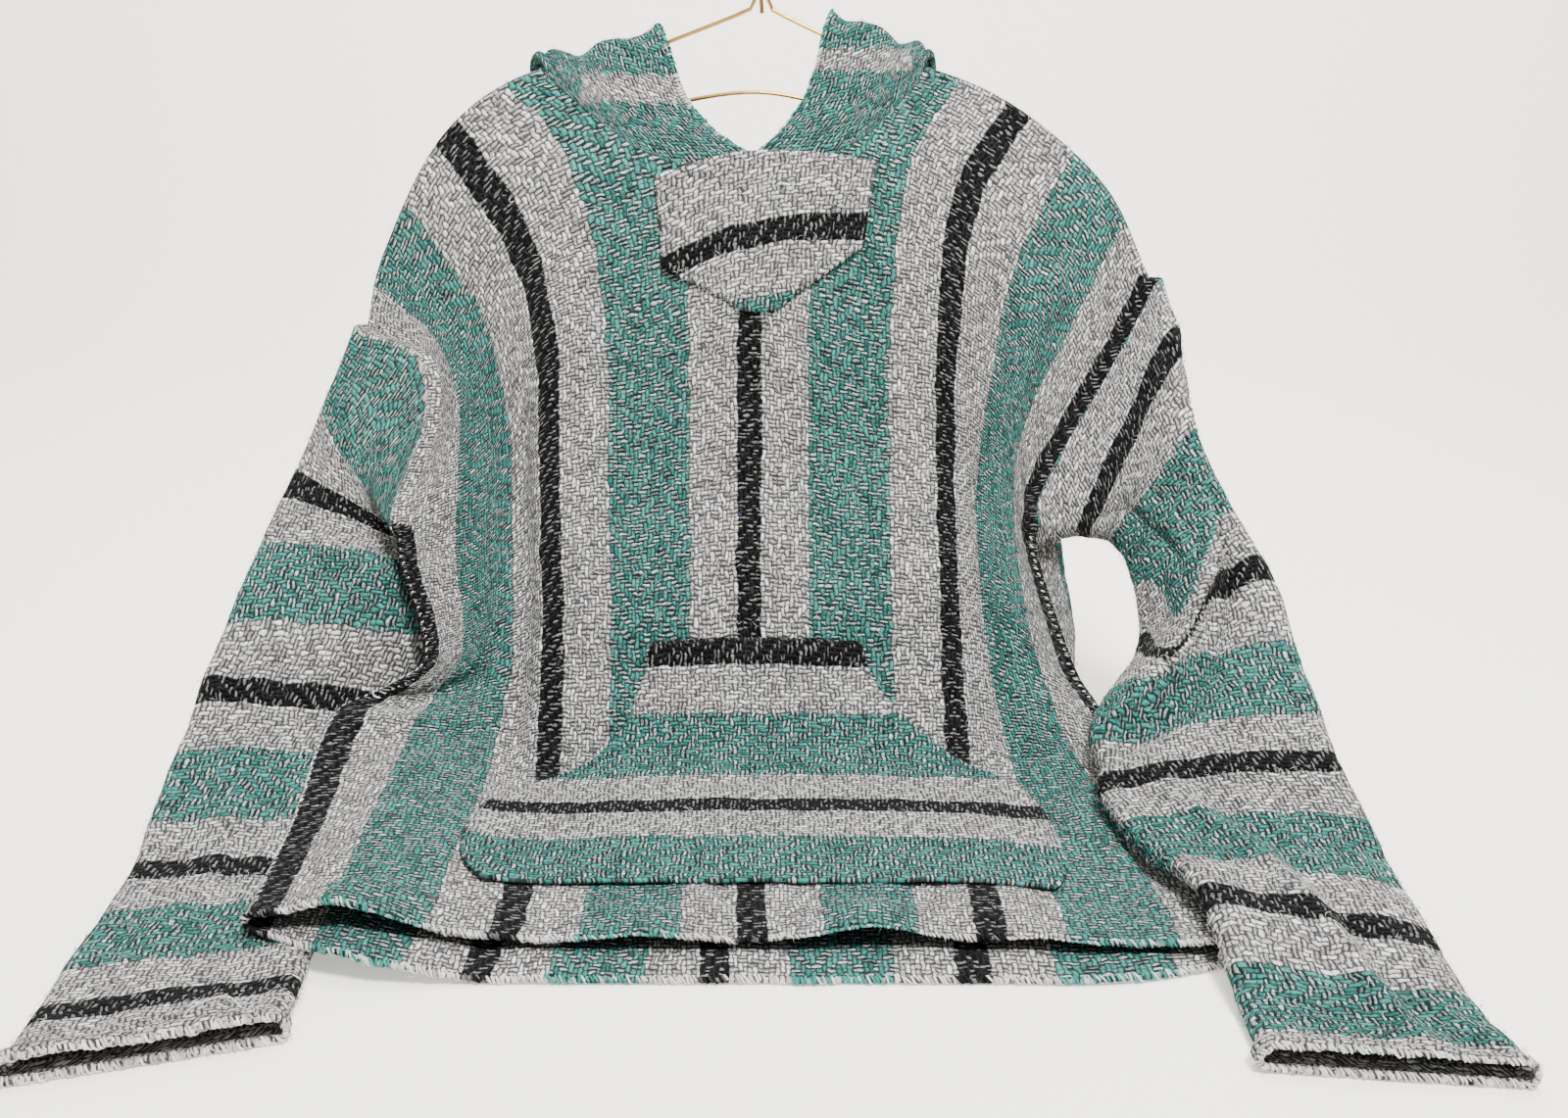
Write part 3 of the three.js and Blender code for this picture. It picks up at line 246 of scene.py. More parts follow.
# ---- curves and surfaces
def hermite(knots, values, at):
    """Smooth curve through values[k] at knots[k]; values may carry one more axis than `at`."""
    knots = np.asarray(knots, float)
    values = np.asarray(values, float)
    slopes = np.empty_like(values)
    span = lambda n: n.reshape((-1,) + (1,) * (values.ndim - 1))
    slopes[1:-1] = (values[2:] - values[:-2]) / span(knots[2:] - knots[:-2])
    slopes[0] = (values[1] - values[0]) / (knots[1] - knots[0])
    slopes[-1] = (values[-1] - values[-2]) / (knots[-1] - knots[-2])
    at = np.clip(np.asarray(at, float), knots[0], knots[-1])
    i = np.clip(np.searchsorted(knots, at, side="left") - 1, 0, len(knots) - 2)
    width = knots[i + 1] - knots[i]
    t = ((at - knots[i]) / width)[..., None]
    width = width[..., None]
    if values.ndim == 2:
        a, b, da, db = values[i], values[i + 1], slopes[i] * width, slopes[i + 1] * width
    else:
        place = np.arange(at.shape[0])
        a, b = values[i, place], values[i + 1, place]
        da, db = slopes[i, place] * width, slopes[i + 1, place] * width
    return a + t * (da + t * (3 * (b - a) - 2 * da - db + t * (2 * (a - b) + da + db)))


def curve(rows):
    table = np.array(rows, float)
    return lambda at: hermite(table[:, 0], table[:, 1:], at)


def smooth(x, low, high):
    t = np.clip((np.asarray(x, float) - low) / (high - low), 0, 1)
    return t * t * (3 - 2 * t)


def plateau(x, low, top, end, off):
    return smooth(x, low, top) * (1 - smooth(x, end, off))


def hump(x, middle, width):
    return np.exp(-((x - middle) / width) ** 2)


def unit(vectors):
    return vectors / np.maximum(np.linalg.norm(vectors, axis=-1, keepdims=True), 1e-9)


centre_line = curve(CENTRE)
back_shift = curve(BACK_SHIFT)
SIDES = {
    -1: {"stripe": curve(LEFT_STRIPE), "side": curve(LEFT_SIDE), "edge": curve(LEFT_EDGE),
         "spread": curve(LEFT_SPREAD)},
    1: {"stripe": curve(RIGHT_STRIPE), "side": curve(RIGHT_SIDE), "edge": curve(RIGHT_EDGE),
        "spread": curve(RIGHT_SPREAD)},
}


def edge_frame(sign, down):
    """Middle line of an edge and the direction there to the garment's front."""
    edge = SIDES[sign]["edge"]
    along = edge(down + 4) - edge(down - 4)
    along[..., 0] *= 0.3
    outward = np.array([sign, 0.0, 0.0])
    front = unit(np.cross(along, outward) * sign)
    blend = (1 - smooth(down, 12, 90))[..., None]
    front = unit(front * (1 - blend) + np.array([0, -1.0, 0]) * blend)
    return edge(down), front


def edge_bow(down):
    return ARMHOLE_OPEN * np.sin(np.pi * np.clip((down - ROLL) / (UNDERARM - ROLL), 0, 1))


GUIDES = np.array([-EDGE, -SIDE_LINE, -STRIPE_LINE, -NECK_HALF_WIDTH, 0,
                   NECK_HALF_WIDTH, STRIPE_LINE, SIDE_LINE, EDGE])


def guide_points(down, is_front):
    """The nine lengthwise lines of a panel at the levels `down`."""
    facing = 1 if is_front else -1
    shift = np.zeros(down.shape + (3,)) if is_front else back_shift(down)
    hanging = 1 - smooth(down, *SPREAD_FLAT)

    def moved(points, share):
        points = points + shift * share
        points[..., 1] -= facing * FOLD_RADIUS * hanging
        points[..., 2] = np.maximum(points[..., 2], 0 if is_front else 0.5 * CLOTH)
        return points

    centre = centre_line(down)
    found = {0.0: moved(centre, 1)}
    for sign, side in SIDES.items():
        stripe = side["stripe"](down)
        spread = side["spread"](down)
        share = NECK_HALF_WIDTH / STRIPE_LINE
        found[sign * NECK_HALF_WIDTH] = moved(centre * (1 - share) + stripe * share + spread, 1)
        found[sign * STRIPE_LINE] = moved(stripe, 1)
        outer = moved(side["side"](down), SIDE_SHIFT)
        if not is_front and sign > 0:
            swing = plateau(down, *BACK_SWING)
            outer[..., 0] += BACK_BULGE * swing
            outer[..., 1] -= BULGE_FORWARD * BACK_BULGE * swing
        found[sign * SIDE_LINE] = outer
        middle, front = edge_frame(sign, down)
        reach = (FOLD_RADIUS + edge_bow(down)) * facing
        found[sign * EDGE] = middle + front * reach[..., None]
    return np.array([found[key] for key in GUIDES])


def shoulder_up(across):
    level = np.full(across.shape, ROLL)
    guides = guide_points(level, True)
    inside = np.clip(across, -EDGE, EDGE)
    ahead = hermite(GUIDES, guides, np.minimum(inside + 8, EDGE))
    behind = hermite(GUIDES, guides, np.maximum(inside - 8, -EDGE))
    up = np.cross(np.array([0, 1.0, 0]), behind - ahead)
    up[..., 1] = 0
    up = unit(up)
    up[..., 2] = np.maximum(up[..., 2], 0.5)
    return unit(up)


def panel_point(across, down, is_front):
    across, down = np.broadcast_arrays(np.asarray(across, float), np.asarray(down, float))
    shape = across.shape
    across, down = across.ravel(), down.ravel()
    facing = 1 if is_front else -1
    level = np.maximum(down, ROLL)
    point = hermite(GUIDES, guide_points(level, is_front), np.clip(across, -EDGE, EDGE))
    for sign in (-1, 1):
        _, front = edge_frame(sign, level)
        past = np.maximum(across * sign - EDGE, 0)
        closed = np.clip((level - ARMHOLE) / (UNDERARM - ARMHOLE), 0, 1)
        turned = np.minimum(past / FOLD_RADIUS, closed * 0.5 * math.pi)
        straight = past - turned * FOLD_RADIUS
        out = FOLD_RADIUS * np.sin(turned) + straight * np.cos(turned)
        sink = FOLD_RADIUS * (1 - np.cos(turned)) + straight * np.sin(turned)
        point[:, 0] += sign * out
        point -= front * (facing * sink)[:, None]
    rolled = down < ROLL
    if rolled.any():
        angle = np.maximum(down[rolled], -ROLL) / FOLD_RADIUS
        point[rolled] += shoulder_up(across[rolled]) * (FOLD_RADIUS * np.cos(angle))[:, None]
        point[rolled, 1] += facing * FOLD_RADIUS * (1 - np.sin(angle))
    point[:, 2] = np.maximum(point[:, 2], 0.5 * CLOTH)
    return point.reshape(shape + (3,))


def normal_at(surface, u, v):
    """Outward normal of a surface that runs to +X with u and down with v."""
    step = 1.5
    across = surface(u + step, v) - surface(u - step, v)
    down = surface(u, v + step) - surface(u, v - step)
    return unit(np.cross(down, across))


def line_distance(line, across, down):
    """Signed distance from a line of points, and the share of the line's length passed."""
    line = np.array(line, float)
    runs = line[1:] - line[:-1]
    lengths = np.hypot(runs[:, 0], runs[:, 1])
    passed = np.concatenate([[0], np.cumsum(lengths)]) / lengths.sum()
    nearest = np.full(np.broadcast(across, down).shape, np.inf)
    signed, share = np.zeros(nearest.shape), np.zeros(nearest.shape)
    for k, (start, run, length) in enumerate(zip(line, runs, lengths)):
        ahead = ((across - start[0]) * run[0] + (down - start[1]) * run[1]) / length ** 2
        # the first and last runs go on past their ends
        held = np.clip(ahead, -1 if k == 0 else 0, 2 if k == len(runs) - 1 else 1)
        away_u = across - start[0] - held * run[0]
        away_v = down - start[1] - held * run[1]
        away = np.hypot(away_u, away_v)
        side = np.where(away_u * run[1] - away_v * run[0] < 0, -1.0, 1.0)
        closer = away < nearest
        nearest = np.where(closer, away, nearest)
        signed = np.where(closer, away * side, signed)
        share = np.where(closer, passed[k] + held * (passed[k + 1] - passed[k]), share)
    return signed, share


def crease_height(creases, across, down, fade=CREASE_FADE):
    height = np.zeros(np.broadcast(across, down).shape)
    for line, plus, minus, tall in creases:
        signed, share = line_distance(line, across, down)
        height += tall * plateau(share, *fade) * hump(signed, 0, np.where(signed > 0, plus, minus))
    return height


def edge_calm(across, reach=34):
    return smooth(HALF_WIDTH - np.abs(across), 0, reach)


def panel_surfaces(is_front, folds, creases):
    """A panel's bare surface, and the one with its folds and creases."""
    facing = 1 if is_front else -1

    def bare(across, down):
        return panel_point(across, down, is_front)

    def folded(across, down):
        height = crease_height(folds, across, down, FOLD_FADE)
        height += crease_height(creases, across, down) * edge_calm(across)
        return bare(across, down) + normal_at(bare, across, down) * (facing * height)[..., None]

    return bare, folded


_, front_point = panel_surfaces(True, FRONT_FOLDS, FRONT_CREASES)
back_base, back_point = panel_surfaces(False, [], BACK_CREASES)


def neckline(across):
    share = np.minimum(np.abs(across) / NECK_HALF_WIDTH, 1)
    return NECK_DEPTH * np.cbrt(1 - share ** 3)


def back_neckline(across):
    return neckline(across) * BACK_NECK_DEPTH


def top_normal(across, is_front):
    """Normal along the top edge of a panel: the neckline, and outside it the shoulder fold."""
    surface = front_point if is_front else back_base
    depth = neckline(across) if is_front else back_neckline(across)
    inner = normal_at(surface, across, depth) * (1 if is_front else -1)
    outside = (np.abs(across) >= NECK_HALF_WIDTH - 1e-6)[..., None]
    return np.where(outside, shoulder_up(across), inner)


# ---- meshes
def ripple(grid, normals, cloth, height, seed):
    """Low uneven waves of soft cloth, added along the normals."""
    rng = np.random.default_rng(seed)
    wave = np.zeros(cloth.shape[:2])
    for length in RIPPLES:
        for _ in range(3):
            angle = rng.uniform(0, math.pi)
            phase = rng.uniform(0, 2 * math.pi)
            run = cloth[..., 0] * math.cos(angle) + cloth[..., 1] * math.sin(angle)
            drift = 0.9 * np.sin(cloth[..., 0] / 73 + phase) + 0.7 * np.cos(cloth[..., 1] / 57)
            turns = 2 * math.pi * run / length
            wave += (length / RIPPLES[0]) ** 0.9 * np.sin(turns + phase + drift)
    return grid + normals * (height * wave / 3.2)[..., None]


def grid_normals(grid, closed=False):
    if closed:
        wrapped = np.concatenate([grid[:, -1:], grid, grid[:, :1]], axis=1)
        across = (wrapped[:, 2:] - wrapped[:, :-2])
    else:
        across = np.gradient(grid, axis=1)
    down = np.gradient(grid, axis=0)
    return unit(np.cross(down, across))


def to_row(points):
    """From the garment's own frame in millimetres to the row's frame in metres."""
    moved = points - np.array([HANGER_X, 0, HOOK_HEIGHT])
    return moved * 0.001


def linked(name, data):
    made = bpy.data.objects.new(name, data)
    bpy.context.collection.objects.link(made)
    return made


def mesh_object(name, points, faces, cloth):
    """A mesh whose map "cloth" holds the weave's place (metres) and "stripe" the colours' shift.

    cloth has both for each point, and for a tube also its girth there.
    """
    mesh = bpy.data.meshes.new(name)
    mesh.from_pydata(to_row(points).tolist(), [], faces.tolist())
    place = cloth[faces.ravel()]
    if cloth.shape[1] == 4:
        # faces across the join of a tube carry on past the full turn
        around, girth = (place[:, k].reshape(faces.shape) for k in (1, 3))
        torn = (np.ptp(around, axis=1) > 0.5 * girth[:, 0])[:, None] & (around < 0)
        place[:, 1] = np.where(torn, around + girth, around).ravel()
    shift = np.stack([place[:, 2], np.zeros(len(place))], axis=1)
    for layer_name, values in (("cloth", place[:, :2]), ("stripe", shift)):
        layer = mesh.uv_layers.new(name=layer_name)
        layer.data.foreach_set("uv", (values * 0.001).astype(np.float32).ravel())
    mesh.polygons.foreach_set("use_smooth", np.ones(len(mesh.polygons), dtype=bool))
    mesh.update()
    return linked(name, mesh)


SURFACES = {}  # the grid, normals and cloth places of each piece of cloth


def shell(name, grid, normals, cloth):
    """A closed wall of cloth about a grid of points; one more row rounds its cut edges.

    cloth holds across, down and the shift of the stripes, and for a tube also its girth.
    """
    SURFACES[name] = (grid, normals, cloth[..., :3])
    rows, columns, fields = cloth.shape
    cloth = cloth.reshape(-1, fields)
    outer = (grid + normals * (0.5 * CLOTH)).reshape(-1, 3)
    inner = (grid - normals * (0.5 * CLOTH)).reshape(-1, 3)
    index = np.arange(rows * columns).reshape(rows, columns)
    if fields == 4:
        edges = [(index[0], index[1], 1), (index[-1], index[-2], -1)]
        index = np.concatenate([index, index[:, :1]], axis=1)
    else:
        ring = np.concatenate([index[0, :-1], index[:-1, -1], index[-1, :0:-1], index[:0:-1, 0]])
        near = np.concatenate([index[1, :-1], index[:-1, -2], index[-2, :0:-1], index[:0:-1, 1]])
        edges = [(ring, near, 1)]

    def quads(*corners):
        return np.stack([corner.ravel() for corner in corners], axis=1)

    a, b, c, d = index[:-1, :-1], index[1:, :-1], index[1:, 1:], index[:-1, 1:]
    low = rows * columns
    points, places = [outer, inner], [cloth, cloth]
    faces = [quads(a, b, c, d), low + quads(a, d, c, b)]
    start = 2 * low
    for ring, near, way in edges:
        push = unit(outer[ring] - outer[near]) * (EDGE_PUSH * CLOTH)
        points.append(0.5 * (outer[ring] + inner[ring]) + push)
        places.append(cloth[ring])
        out = np.append(ring, ring[0])
        middle = np.append(np.arange(start, start + len(ring)), start)
        start += len(ring)
        for upper, under in ((out, middle), (middle, out + low)):
            faces.append(quads(*(upper[:-1], upper[1:], under[1:], under[:-1])[::way]))
    return mesh_object(name, *(np.concatenate(part) for part in (points, faces, places)))


def stacked(*fields):
    return np.stack(np.broadcast_arrays(*fields), axis=-1)


def spaced(start, stop, step):
    return np.linspace(start, stop, max(int(round((stop - start) / step)), 1) + 1)


def body_cloth(top):
    """Cloth places (across, down) of a body panel's fine grid."""
    steep = NECK_HALF_WIDTH * (1 - np.array(NECK_FINE))
    right = np.concatenate([spaced(0, steep[0], GRID)[:-1], steep,
                            spaced(NECK_HALF_WIDTH, EDGE, GRID)[1:],
                            EDGE + ROLL * np.array([0.33, 0.66, 1])])
    columns = np.concatenate([-right[:0:-1], right])
    rows = np.concatenate([ROLL * np.array([0, 0.25, 0.5, 0.75]), spaced(ROLL, ARMHOLE, GRID),
                           spaced(ARMHOLE, UNDERARM, GRID)[1:], spaced(UNDERARM, HEM, GRID)[1:]])
    across, row = np.meshgrid(columns, rows)
    down = row + top(across) * np.maximum(1 - row / LEVEL_ROW, 0)
    return stacked(across, down)


def body_panel(name, surface, top, is_front, seed):
    cloth = body_cloth(top)
    across, down = cloth[..., 0], cloth[..., 1]
    grid = surface(across, down)
    normals = normal_at(surface, across, down) * (1 if is_front else -1)
    normals[0] = top_normal(across[0], is_front)
    for column, sign in ((0, -1), (-1, 1)):
        seam = down[:, column] >= UNDERARM
        normals[seam, column] = np.array([sign, 0, 0.0])
    calm = edge_calm(across, 30) * smooth(down, 0, 40)
    grid = ripple(grid, normals * calm[..., None], cloth, 1.2, seed)
    grid[..., 2] = np.maximum(grid[..., 2], 0.5 * CLOTH)
    if is_front:
        start, *ends = LEFT_TURN_IN
        shift = np.maximum(-start - across, 0) * (1 - smooth(down, *ends))
        most, *places = RIGHT_SIDE_SHIFT
        shift += most * smooth(across, *SIDE_BAND) * plateau(down, *places)
        most, *places = LEFT_SIDE_SHIFT
        shift -= most * smooth(-across, *SIDE_BAND) * smooth(down, *places)
        return shell(name, grid, normals, stacked(across, down, shift))
    most, *places = BACK_ASKEW
    askew = most * smooth(down, *places) * (1 - np.abs(across) / HALF_WIDTH)
    return shell(name, grid[:, ::-1], normals[:, ::-1], stacked(across + askew, down, 0.0)[:, ::-1])


# ---- sleeves
def sleeve_lines(sections, sign, downs):
    """Points of every ring: armhole first, then each section; down the front, up the back."""
    edge = sign * HALF_WIDTH
    ring0 = np.concatenate([front_point(np.full(downs.shape, edge), downs),
                            back_base(np.full(downs.shape, edge), downs)[-2:0:-1]])
    ring0[:, 0] += sign * SEAM_GAP
    outers = np.array([s[1] for s in sections], float)
    inners = np.array([s[2] for s in sections], float)
    middles = 0.5 * (outers + inners)
    rings = [ring0]
    for i, (_, outer, inner, half, bow) in enumerate(sections):
        before = middles[max(i - 1, 0)]
        after = middles[min(i + 1, len(sections) - 1)]
        outward = unit(outers[i] - inners[i])
        normal = unit(np.cross(after - before, outward))
        if normal[2] - normal[1] < 0:
            normal = -normal
        start = outers[i] - outward * half
        end = inners[i] + outward * half

        def face(side):
            share = np.clip((downs - ROLL) / (ARMHOLE - ROLL), 0, 1)
            swell = half + (bow * np.sin(math.pi * share) if side > 0 else 0 * share)
            flat = start + (end - start) * share[:, None] + normal * (side * swell)[:, None]
            angle = (downs / ROLL * 0.5 * math.pi)[:, None]
            top = start + half * (normal * side * np.sin(angle) + outward * np.cos(angle))
            angle = ((UNDERARM - downs) / (UNDERARM - ARMHOLE) * 0.5 * math.pi)[:, None]
            low = end + half * (normal * side * np.sin(angle) - outward * np.cos(angle))
            points = np.where((downs <= ROLL)[:, None], top, flat)
            return np.where((downs > ARMHOLE)[:, None], low, points)

        rings.append(np.concatenate([face(1), face(-1)[-2:0:-1]]))
    alongs = np.array([0] + [s[0] for s in sections], float)
    return alongs, np.array(rings)


def sleeve(name, sections, sign, seed, creases):
    downs = np.concatenate([ROLL * np.array([0, 0.33, 0.66]), spaced(ROLL, ARMHOLE, GRID),
                            spaced(ARMHOLE, UNDERARM, GRID)[1:]])
    alongs, rings = sleeve_lines(sections, sign, downs)
    stops = spaced(0, alongs[-1], GRID)
    count = rings.shape[1]
    grid = np.stack([hermite(alongs, rings[:, j], stops) for j in range(count)], axis=1)
    around = np.arange(count) * 2 * ARMHOLE / count
    around = np.where(around > ARMHOLE, around - 2 * ARMHOLE, around)
    around, along = np.meshgrid(around, stops)
    outward = 1 if sign < 0 else -1
    calm = smooth(along, 0, 50)
    height = crease_height(creases, around, along) * calm
    # the cuff's hem is turned up and sewn down in a groove
    before_end = stops[-1] - along
    height += HEM_RISE * plateau(before_end, -6, 5, CUFF_HEM - 5, CUFF_HEM)
    height -= HEM_GROOVE * hump(before_end, CUFF_HEM + 2, 2.6)
    grid = grid + grid_normals(grid, closed=True) * (outward * height)[..., None]
    normals = grid_normals(grid, closed=True) * outward
    grid = ripple(grid, normals * calm[..., None], stacked(around, along), 1.4, seed)
    grid[..., 2] = np.maximum(grid[..., 2], 0.5 * CLOTH)
    steps = np.linalg.norm(np.roll(grid, -1, axis=1) - grid, axis=-1)
    passed = np.cumsum(steps, axis=1) - steps
    girth = steps.sum(axis=1)
    girthwise = np.where(around < 0, passed - girth[:, None], passed)
    place = along + SLEEVE_START[sign]
    shift = np.minimum(place, CUFF_WHITE[sign]) - place
    if sign > 0:
        # inside the ridge of the loop the cloth has slid along
        signed, _ = line_distance(RIGHT_CREASES[0][0], around, along)
        reach_round, reach_up, reach_down = LOOP_REACH
        near = hump(around, LOOP_MIDDLE[0], reach_round)
        near = near * hump(along, LOOP_MIDDLE[1],
                           np.where(along < LOOP_MIDDLE[1], reach_up, reach_down))
        shift -= LOOP_SHIFT * near * smooth(signed, -LOOP_STEP, LOOP_STEP)
    cloth = stacked(place, girthwise, shift, girth[:, None])
    if sign > 0:
        grid, normals, cloth = grid[:, ::-1], normals[:, ::-1], cloth[:, ::-1]
    return shell(name, grid, normals, cloth)


# ---- hood
HOOD_STEP = 0.0125  # of the grid, in shares of the hood's length
HOOD_ROUND = 0.045  # of the grid round the neck seam, and it is finer near the shoulder:
HOOD_FINE = [0.36, 0.39, 0.415, 0.43, 0.445, 0.455, 0.465, 0.472, 0.479, 0.486, 0.493]
SHOULDER = 0.5  # share of the neck seam where it meets the shoulder fold


def neck_seam(sign, at):
    """Points and normals round one half of the neck, from the front point to the nape."""
    across = sign * NECK_HALF_WIDTH * np.sin(math.pi * at)
    across = np.where(np.abs(at - SHOULDER) < 1e-9, sign * NECK_HALF_WIDTH, across)
    fore = (at <= SHOULDER)[:, None]
    point = np.where(fore, front_point(across, neckline(across)),
                     back_base(across, back_neckline(across)))
    return point, np.where(fore, top_normal(across, True), top_normal(across, False))


def run_length(grid, axis):
    """Distance from the grid's first row or column, on the cloth."""
    steps = np.linalg.norm(np.diff(grid, axis=axis), axis=-1)
    return np.concatenate([np.zeros_like(np.take(steps, [0], axis)), np.cumsum(steps, axis)], axis)


def hood(name, sign, seed):
    """Half of the hood."""
    rounds = np.unique(np.concatenate([
        np.arcsin(np.clip(np.abs(spaced(0, 1, HOOD_ROUND)), 0, 1)) / math.pi, HOOD_FINE]))
    rounds = np.concatenate([rounds[:-1], [SHOULDER], (1 - rounds[:-1])[::-1]])
    reaches = np.unique(np.concatenate([spaced(0, 0.1, HOOD_STEP), spaced(0.1, 1, HOOD_STEP)]))
    knots = np.array([line[0] for line in HOOD_LINES], float)
    lines = []
    for (_, rows), start in zip(HOOD_LINES, neck_seam(sign, knots)[0]):
        table = [(0, start[0] * -sign, start[1], start[2])]
        for reach, x, y, z in rows:
            if sign > 0:
                x *= RIGHT_HOOD_SCALE
                z += RIGHT_HOOD_LIFT * max(1 - abs(reach / RIGHT_HOOD_RIM - 1), 0)
            table.append((reach, x, y, z))
        lines.append(curve(table)(reaches))
    lines = np.array(lines)
    grid = np.stack([hermite(knots, lines, np.full(len(reaches), at)) for at in rounds], axis=1)
    grid[..., 0] *= -sign
    grid[0], seam_normals = neck_seam(sign, rounds)
    grid[0, :, 2] += CLOTH * np.maximum(1 - np.abs(rounds - SHOULDER) / HOOD_ROUND, 0)
    cloth = np.stack(np.meshgrid(rounds * NECK_SEAM, reaches * HOOD_LENGTH), axis=-1)
    normals = grid_normals(grid) * (-sign)
    normals[0] = seam_normals
    calm = smooth(cloth[..., 1], 0, 30) * smooth(NECK_SEAM - cloth[..., 0], 0, 30)
    grid = ripple(grid, normals * calm[..., None], cloth, 1.0, seed)
    # the band runs level, so it is found by the height that the cloth has before the fold
    reach = cloth[..., 1] / HOOD_LENGTH
    fold_at, fold_height = HOOD_FOLD
    level = np.where(reach < fold_at, grid[..., 2], 2 * fold_height - grid[..., 2])
    band_low, band_high, band_end = HOOD_BAND[sign]
    share = (level - band_low) / (band_high - band_low)
    white = (share > 0) & (share < HOOD_WHITE[0]) & (reach < HOOD_WHITE[1])
    white &= np.abs(grid[..., 0]) < band_end
    teal = HOOD_TEAL + np.maximum(cloth[..., 1] - HOOD_PLAIN, 0)
    place, beside = run_length(grid, 0), run_length(grid, 1)
    cloth = stacked(place, beside, np.where(white, 0.5 * (BLACK + WHITE), teal) - place)
    if sign > 0:
        grid, normals, cloth = grid[:, ::-1], normals[:, ::-1], cloth[:, ::-1]
    return shell(name, grid, normals, cloth)


# ---- pieces on the front
def lifted(name, across, down, place, shift, lift, seed):
    """A piece on the front panel; place runs across its stripes."""
    grid = front_point(across, down) + normal_at(front_point, across, down) * lift[..., None]
    normals = grid_normals(grid)
    grid = ripple(grid, normals, stacked(across, down), 0.6, seed)
    return shell(name, grid, normals, stacked(place, across, shift))


def pocket():
    table = np.array(POCKET, float)
    downs = spaced(table[0, 0], table[-1, 0], GRID)
    edges = hermite(table[:, 0], table[:, 1:], downs)
    share = np.linspace(0, 1, 100)
    across = edges[:, :1] + (edges[:, 1:] - edges[:, :1]) * share
    down = np.repeat(downs[:, None], share.size, axis=1)
    height = np.linspace(0, 1, downs.size)[:, None]
    lift = PIECE_LIFT + POCKET_PUFF * np.sin(math.pi * height) * np.sin(math.pi * share)
    # the top edge is rolled, with a bump right of its middle, and the bottom seam is drawn in
    roll = 1.6 + 3.0 * hump(across, 42, 12) + 0.7 * np.sin(across / 9)
    lift += roll * hump(down - downs[0], 6, 6)
    lift -= hump(down - downs[-1], -14, 4) * plateau(share, 0.02, 0.1, 0.9, 0.98)
    place = down - downs[0] - POCKET_BLACK
    shift = np.maximum(place, POCKET_WHITE) - place
    return lifted("pouch_pocket", across, down, place, shift, lift, 31)


def patch():
    table = np.array(PATCH, float)
    across = spaced(table[0, 0], table[-1, 0], 3.0)
    tops = np.interp(across, table[:, 0], table[:, 1])
    bottoms = np.interp(across, table[:, 0], table[:, 2])
    down = tops + (bottoms - tops) * np.linspace(0, 1, 38)[:, None]
    across = np.broadcast_to(across, down.shape)
    black = np.array(PATCH_BLACK, float)
    place = down - np.interp(across, black[:, 0], black[:, 1])
    shift = np.maximum(place, PATCH_WHITE) - place
    return lifted("neck_patch", across, down, place, shift, np.full(down.shape, PIECE_LIFT), 41)


# ---- materials
WARP = 3.0  # pitch of the warp yarns, millimetres
WEFT = 3.2  # pitch of the weft yarns
REPEAT = 4  # picks in the twill's repeat: two over, two under
TURN = 6  # warp yarns before the twill turns back
TURN_STRAY = 5.0  # and it strays from there by some yarns
LATE_GROUP = 4  # so many warps together are now and then lifted a pick late,
LATE = 1.55  # never at 1 and more often above it
WEFT_THIN = 1.2  # the weft floats are this much thinner than their pitch,
WEFT_THIN_DARK = 0.35  # and thinner still between dark warps
WANDER_SLOW = (0.04, 7.0)  # the yarns wander: waves per millimetre, reach
WANDER_QUICK = (0.21, 3.4)
FLOAT_ALONG, FLOAT_ACROSS = 2.6, 1.6  # how square each float is, along and across
PLY_ACROSS, PLY_ALONG = 3.2, 2.2  # fibres in a yarn and in half a float
RUBBED = 0.14  # share of the warp's colour that shows on the weft
GAP_SHADE = 0.10  # painted shade: brightness of the yarn seen in the gaps between two floats, darkened as though in shadow
DEEP_FROM, DEEP_TO = 0.06, 0.66  # heights between which a float comes into the light
CROWD = (2.2, 0.60)  # dark warps crowd the weft: gain and least brightness
FLOAT_SHADE, PLY_SHADE, LEAST_SHADE = 0.75, 1.7, -0.32  # how the warp's brightness varies
FLOAT_HEATHER, STRETCH_HEATHER, PLY_HEATHER = 0.55, 0.45, 1.9  # and the weft's dark and light
WEAR = (0.014, 0.30, 0.86)  # clouds of fading: waves per millimetre, depth, least brightness
FUZZ = (2.6, 0.4)  # short fibres that blur the yarns: waves per millimetre, height
RELIEF = 0.0019  # height of a float in the bump, metres
NEP_FROM = 0.996  # one crossing in 250 holds a nep of other fibre
ABOVE_ZERO = 4000  # keeps counted floats above zero, a multiple of REPEAT
TEAL_YARN = (0.046, 0.275, 0.240)
WHITE_YARN = (0.735, 0.72, 0.70)
BLACK_YARN = (0.003, 0.003, 0.004)
WEFT_DARK = (0.10, 0.10, 0.10)
WEFT_LIGHT = (0.79, 0.775, 0.755)
NEP_BROWN, NEP_BLUE = (0.03, 0.025, 0.02), (0.04, 0.06, 0.14)
BRASS_DARK, BRASS_LIGHT = (0.30, 0.18, 0.05), (0.50, 0.33, 0.10)
BANDS = [(0, BLACK_YARN), (BLACK_EDGE, WHITE_YARN), (BLACK_EDGE + WHITE, TEAL_YARN),
         (BLACK_EDGE + WHITE + TEAL, WHITE_YARN), (PITCH - BLACK_EDGE, BLACK_YARN)]


class Value:
    """One output in a material's node tree; arithmetic on it adds math nodes."""

    def __init__(self, tree, socket):
        self.tree, self.socket = tree, socket

    def math(self, operation, *others):
        return math_node(self.tree, operation, self, *others)

    def clamped(self):
        self.socket.node.use_clamp = True
        return self

    def floor(self):
        return self.math("FLOOR")

    def __rsub__(self, other):
        return math_node(self.tree, "SUBTRACT", other, self)


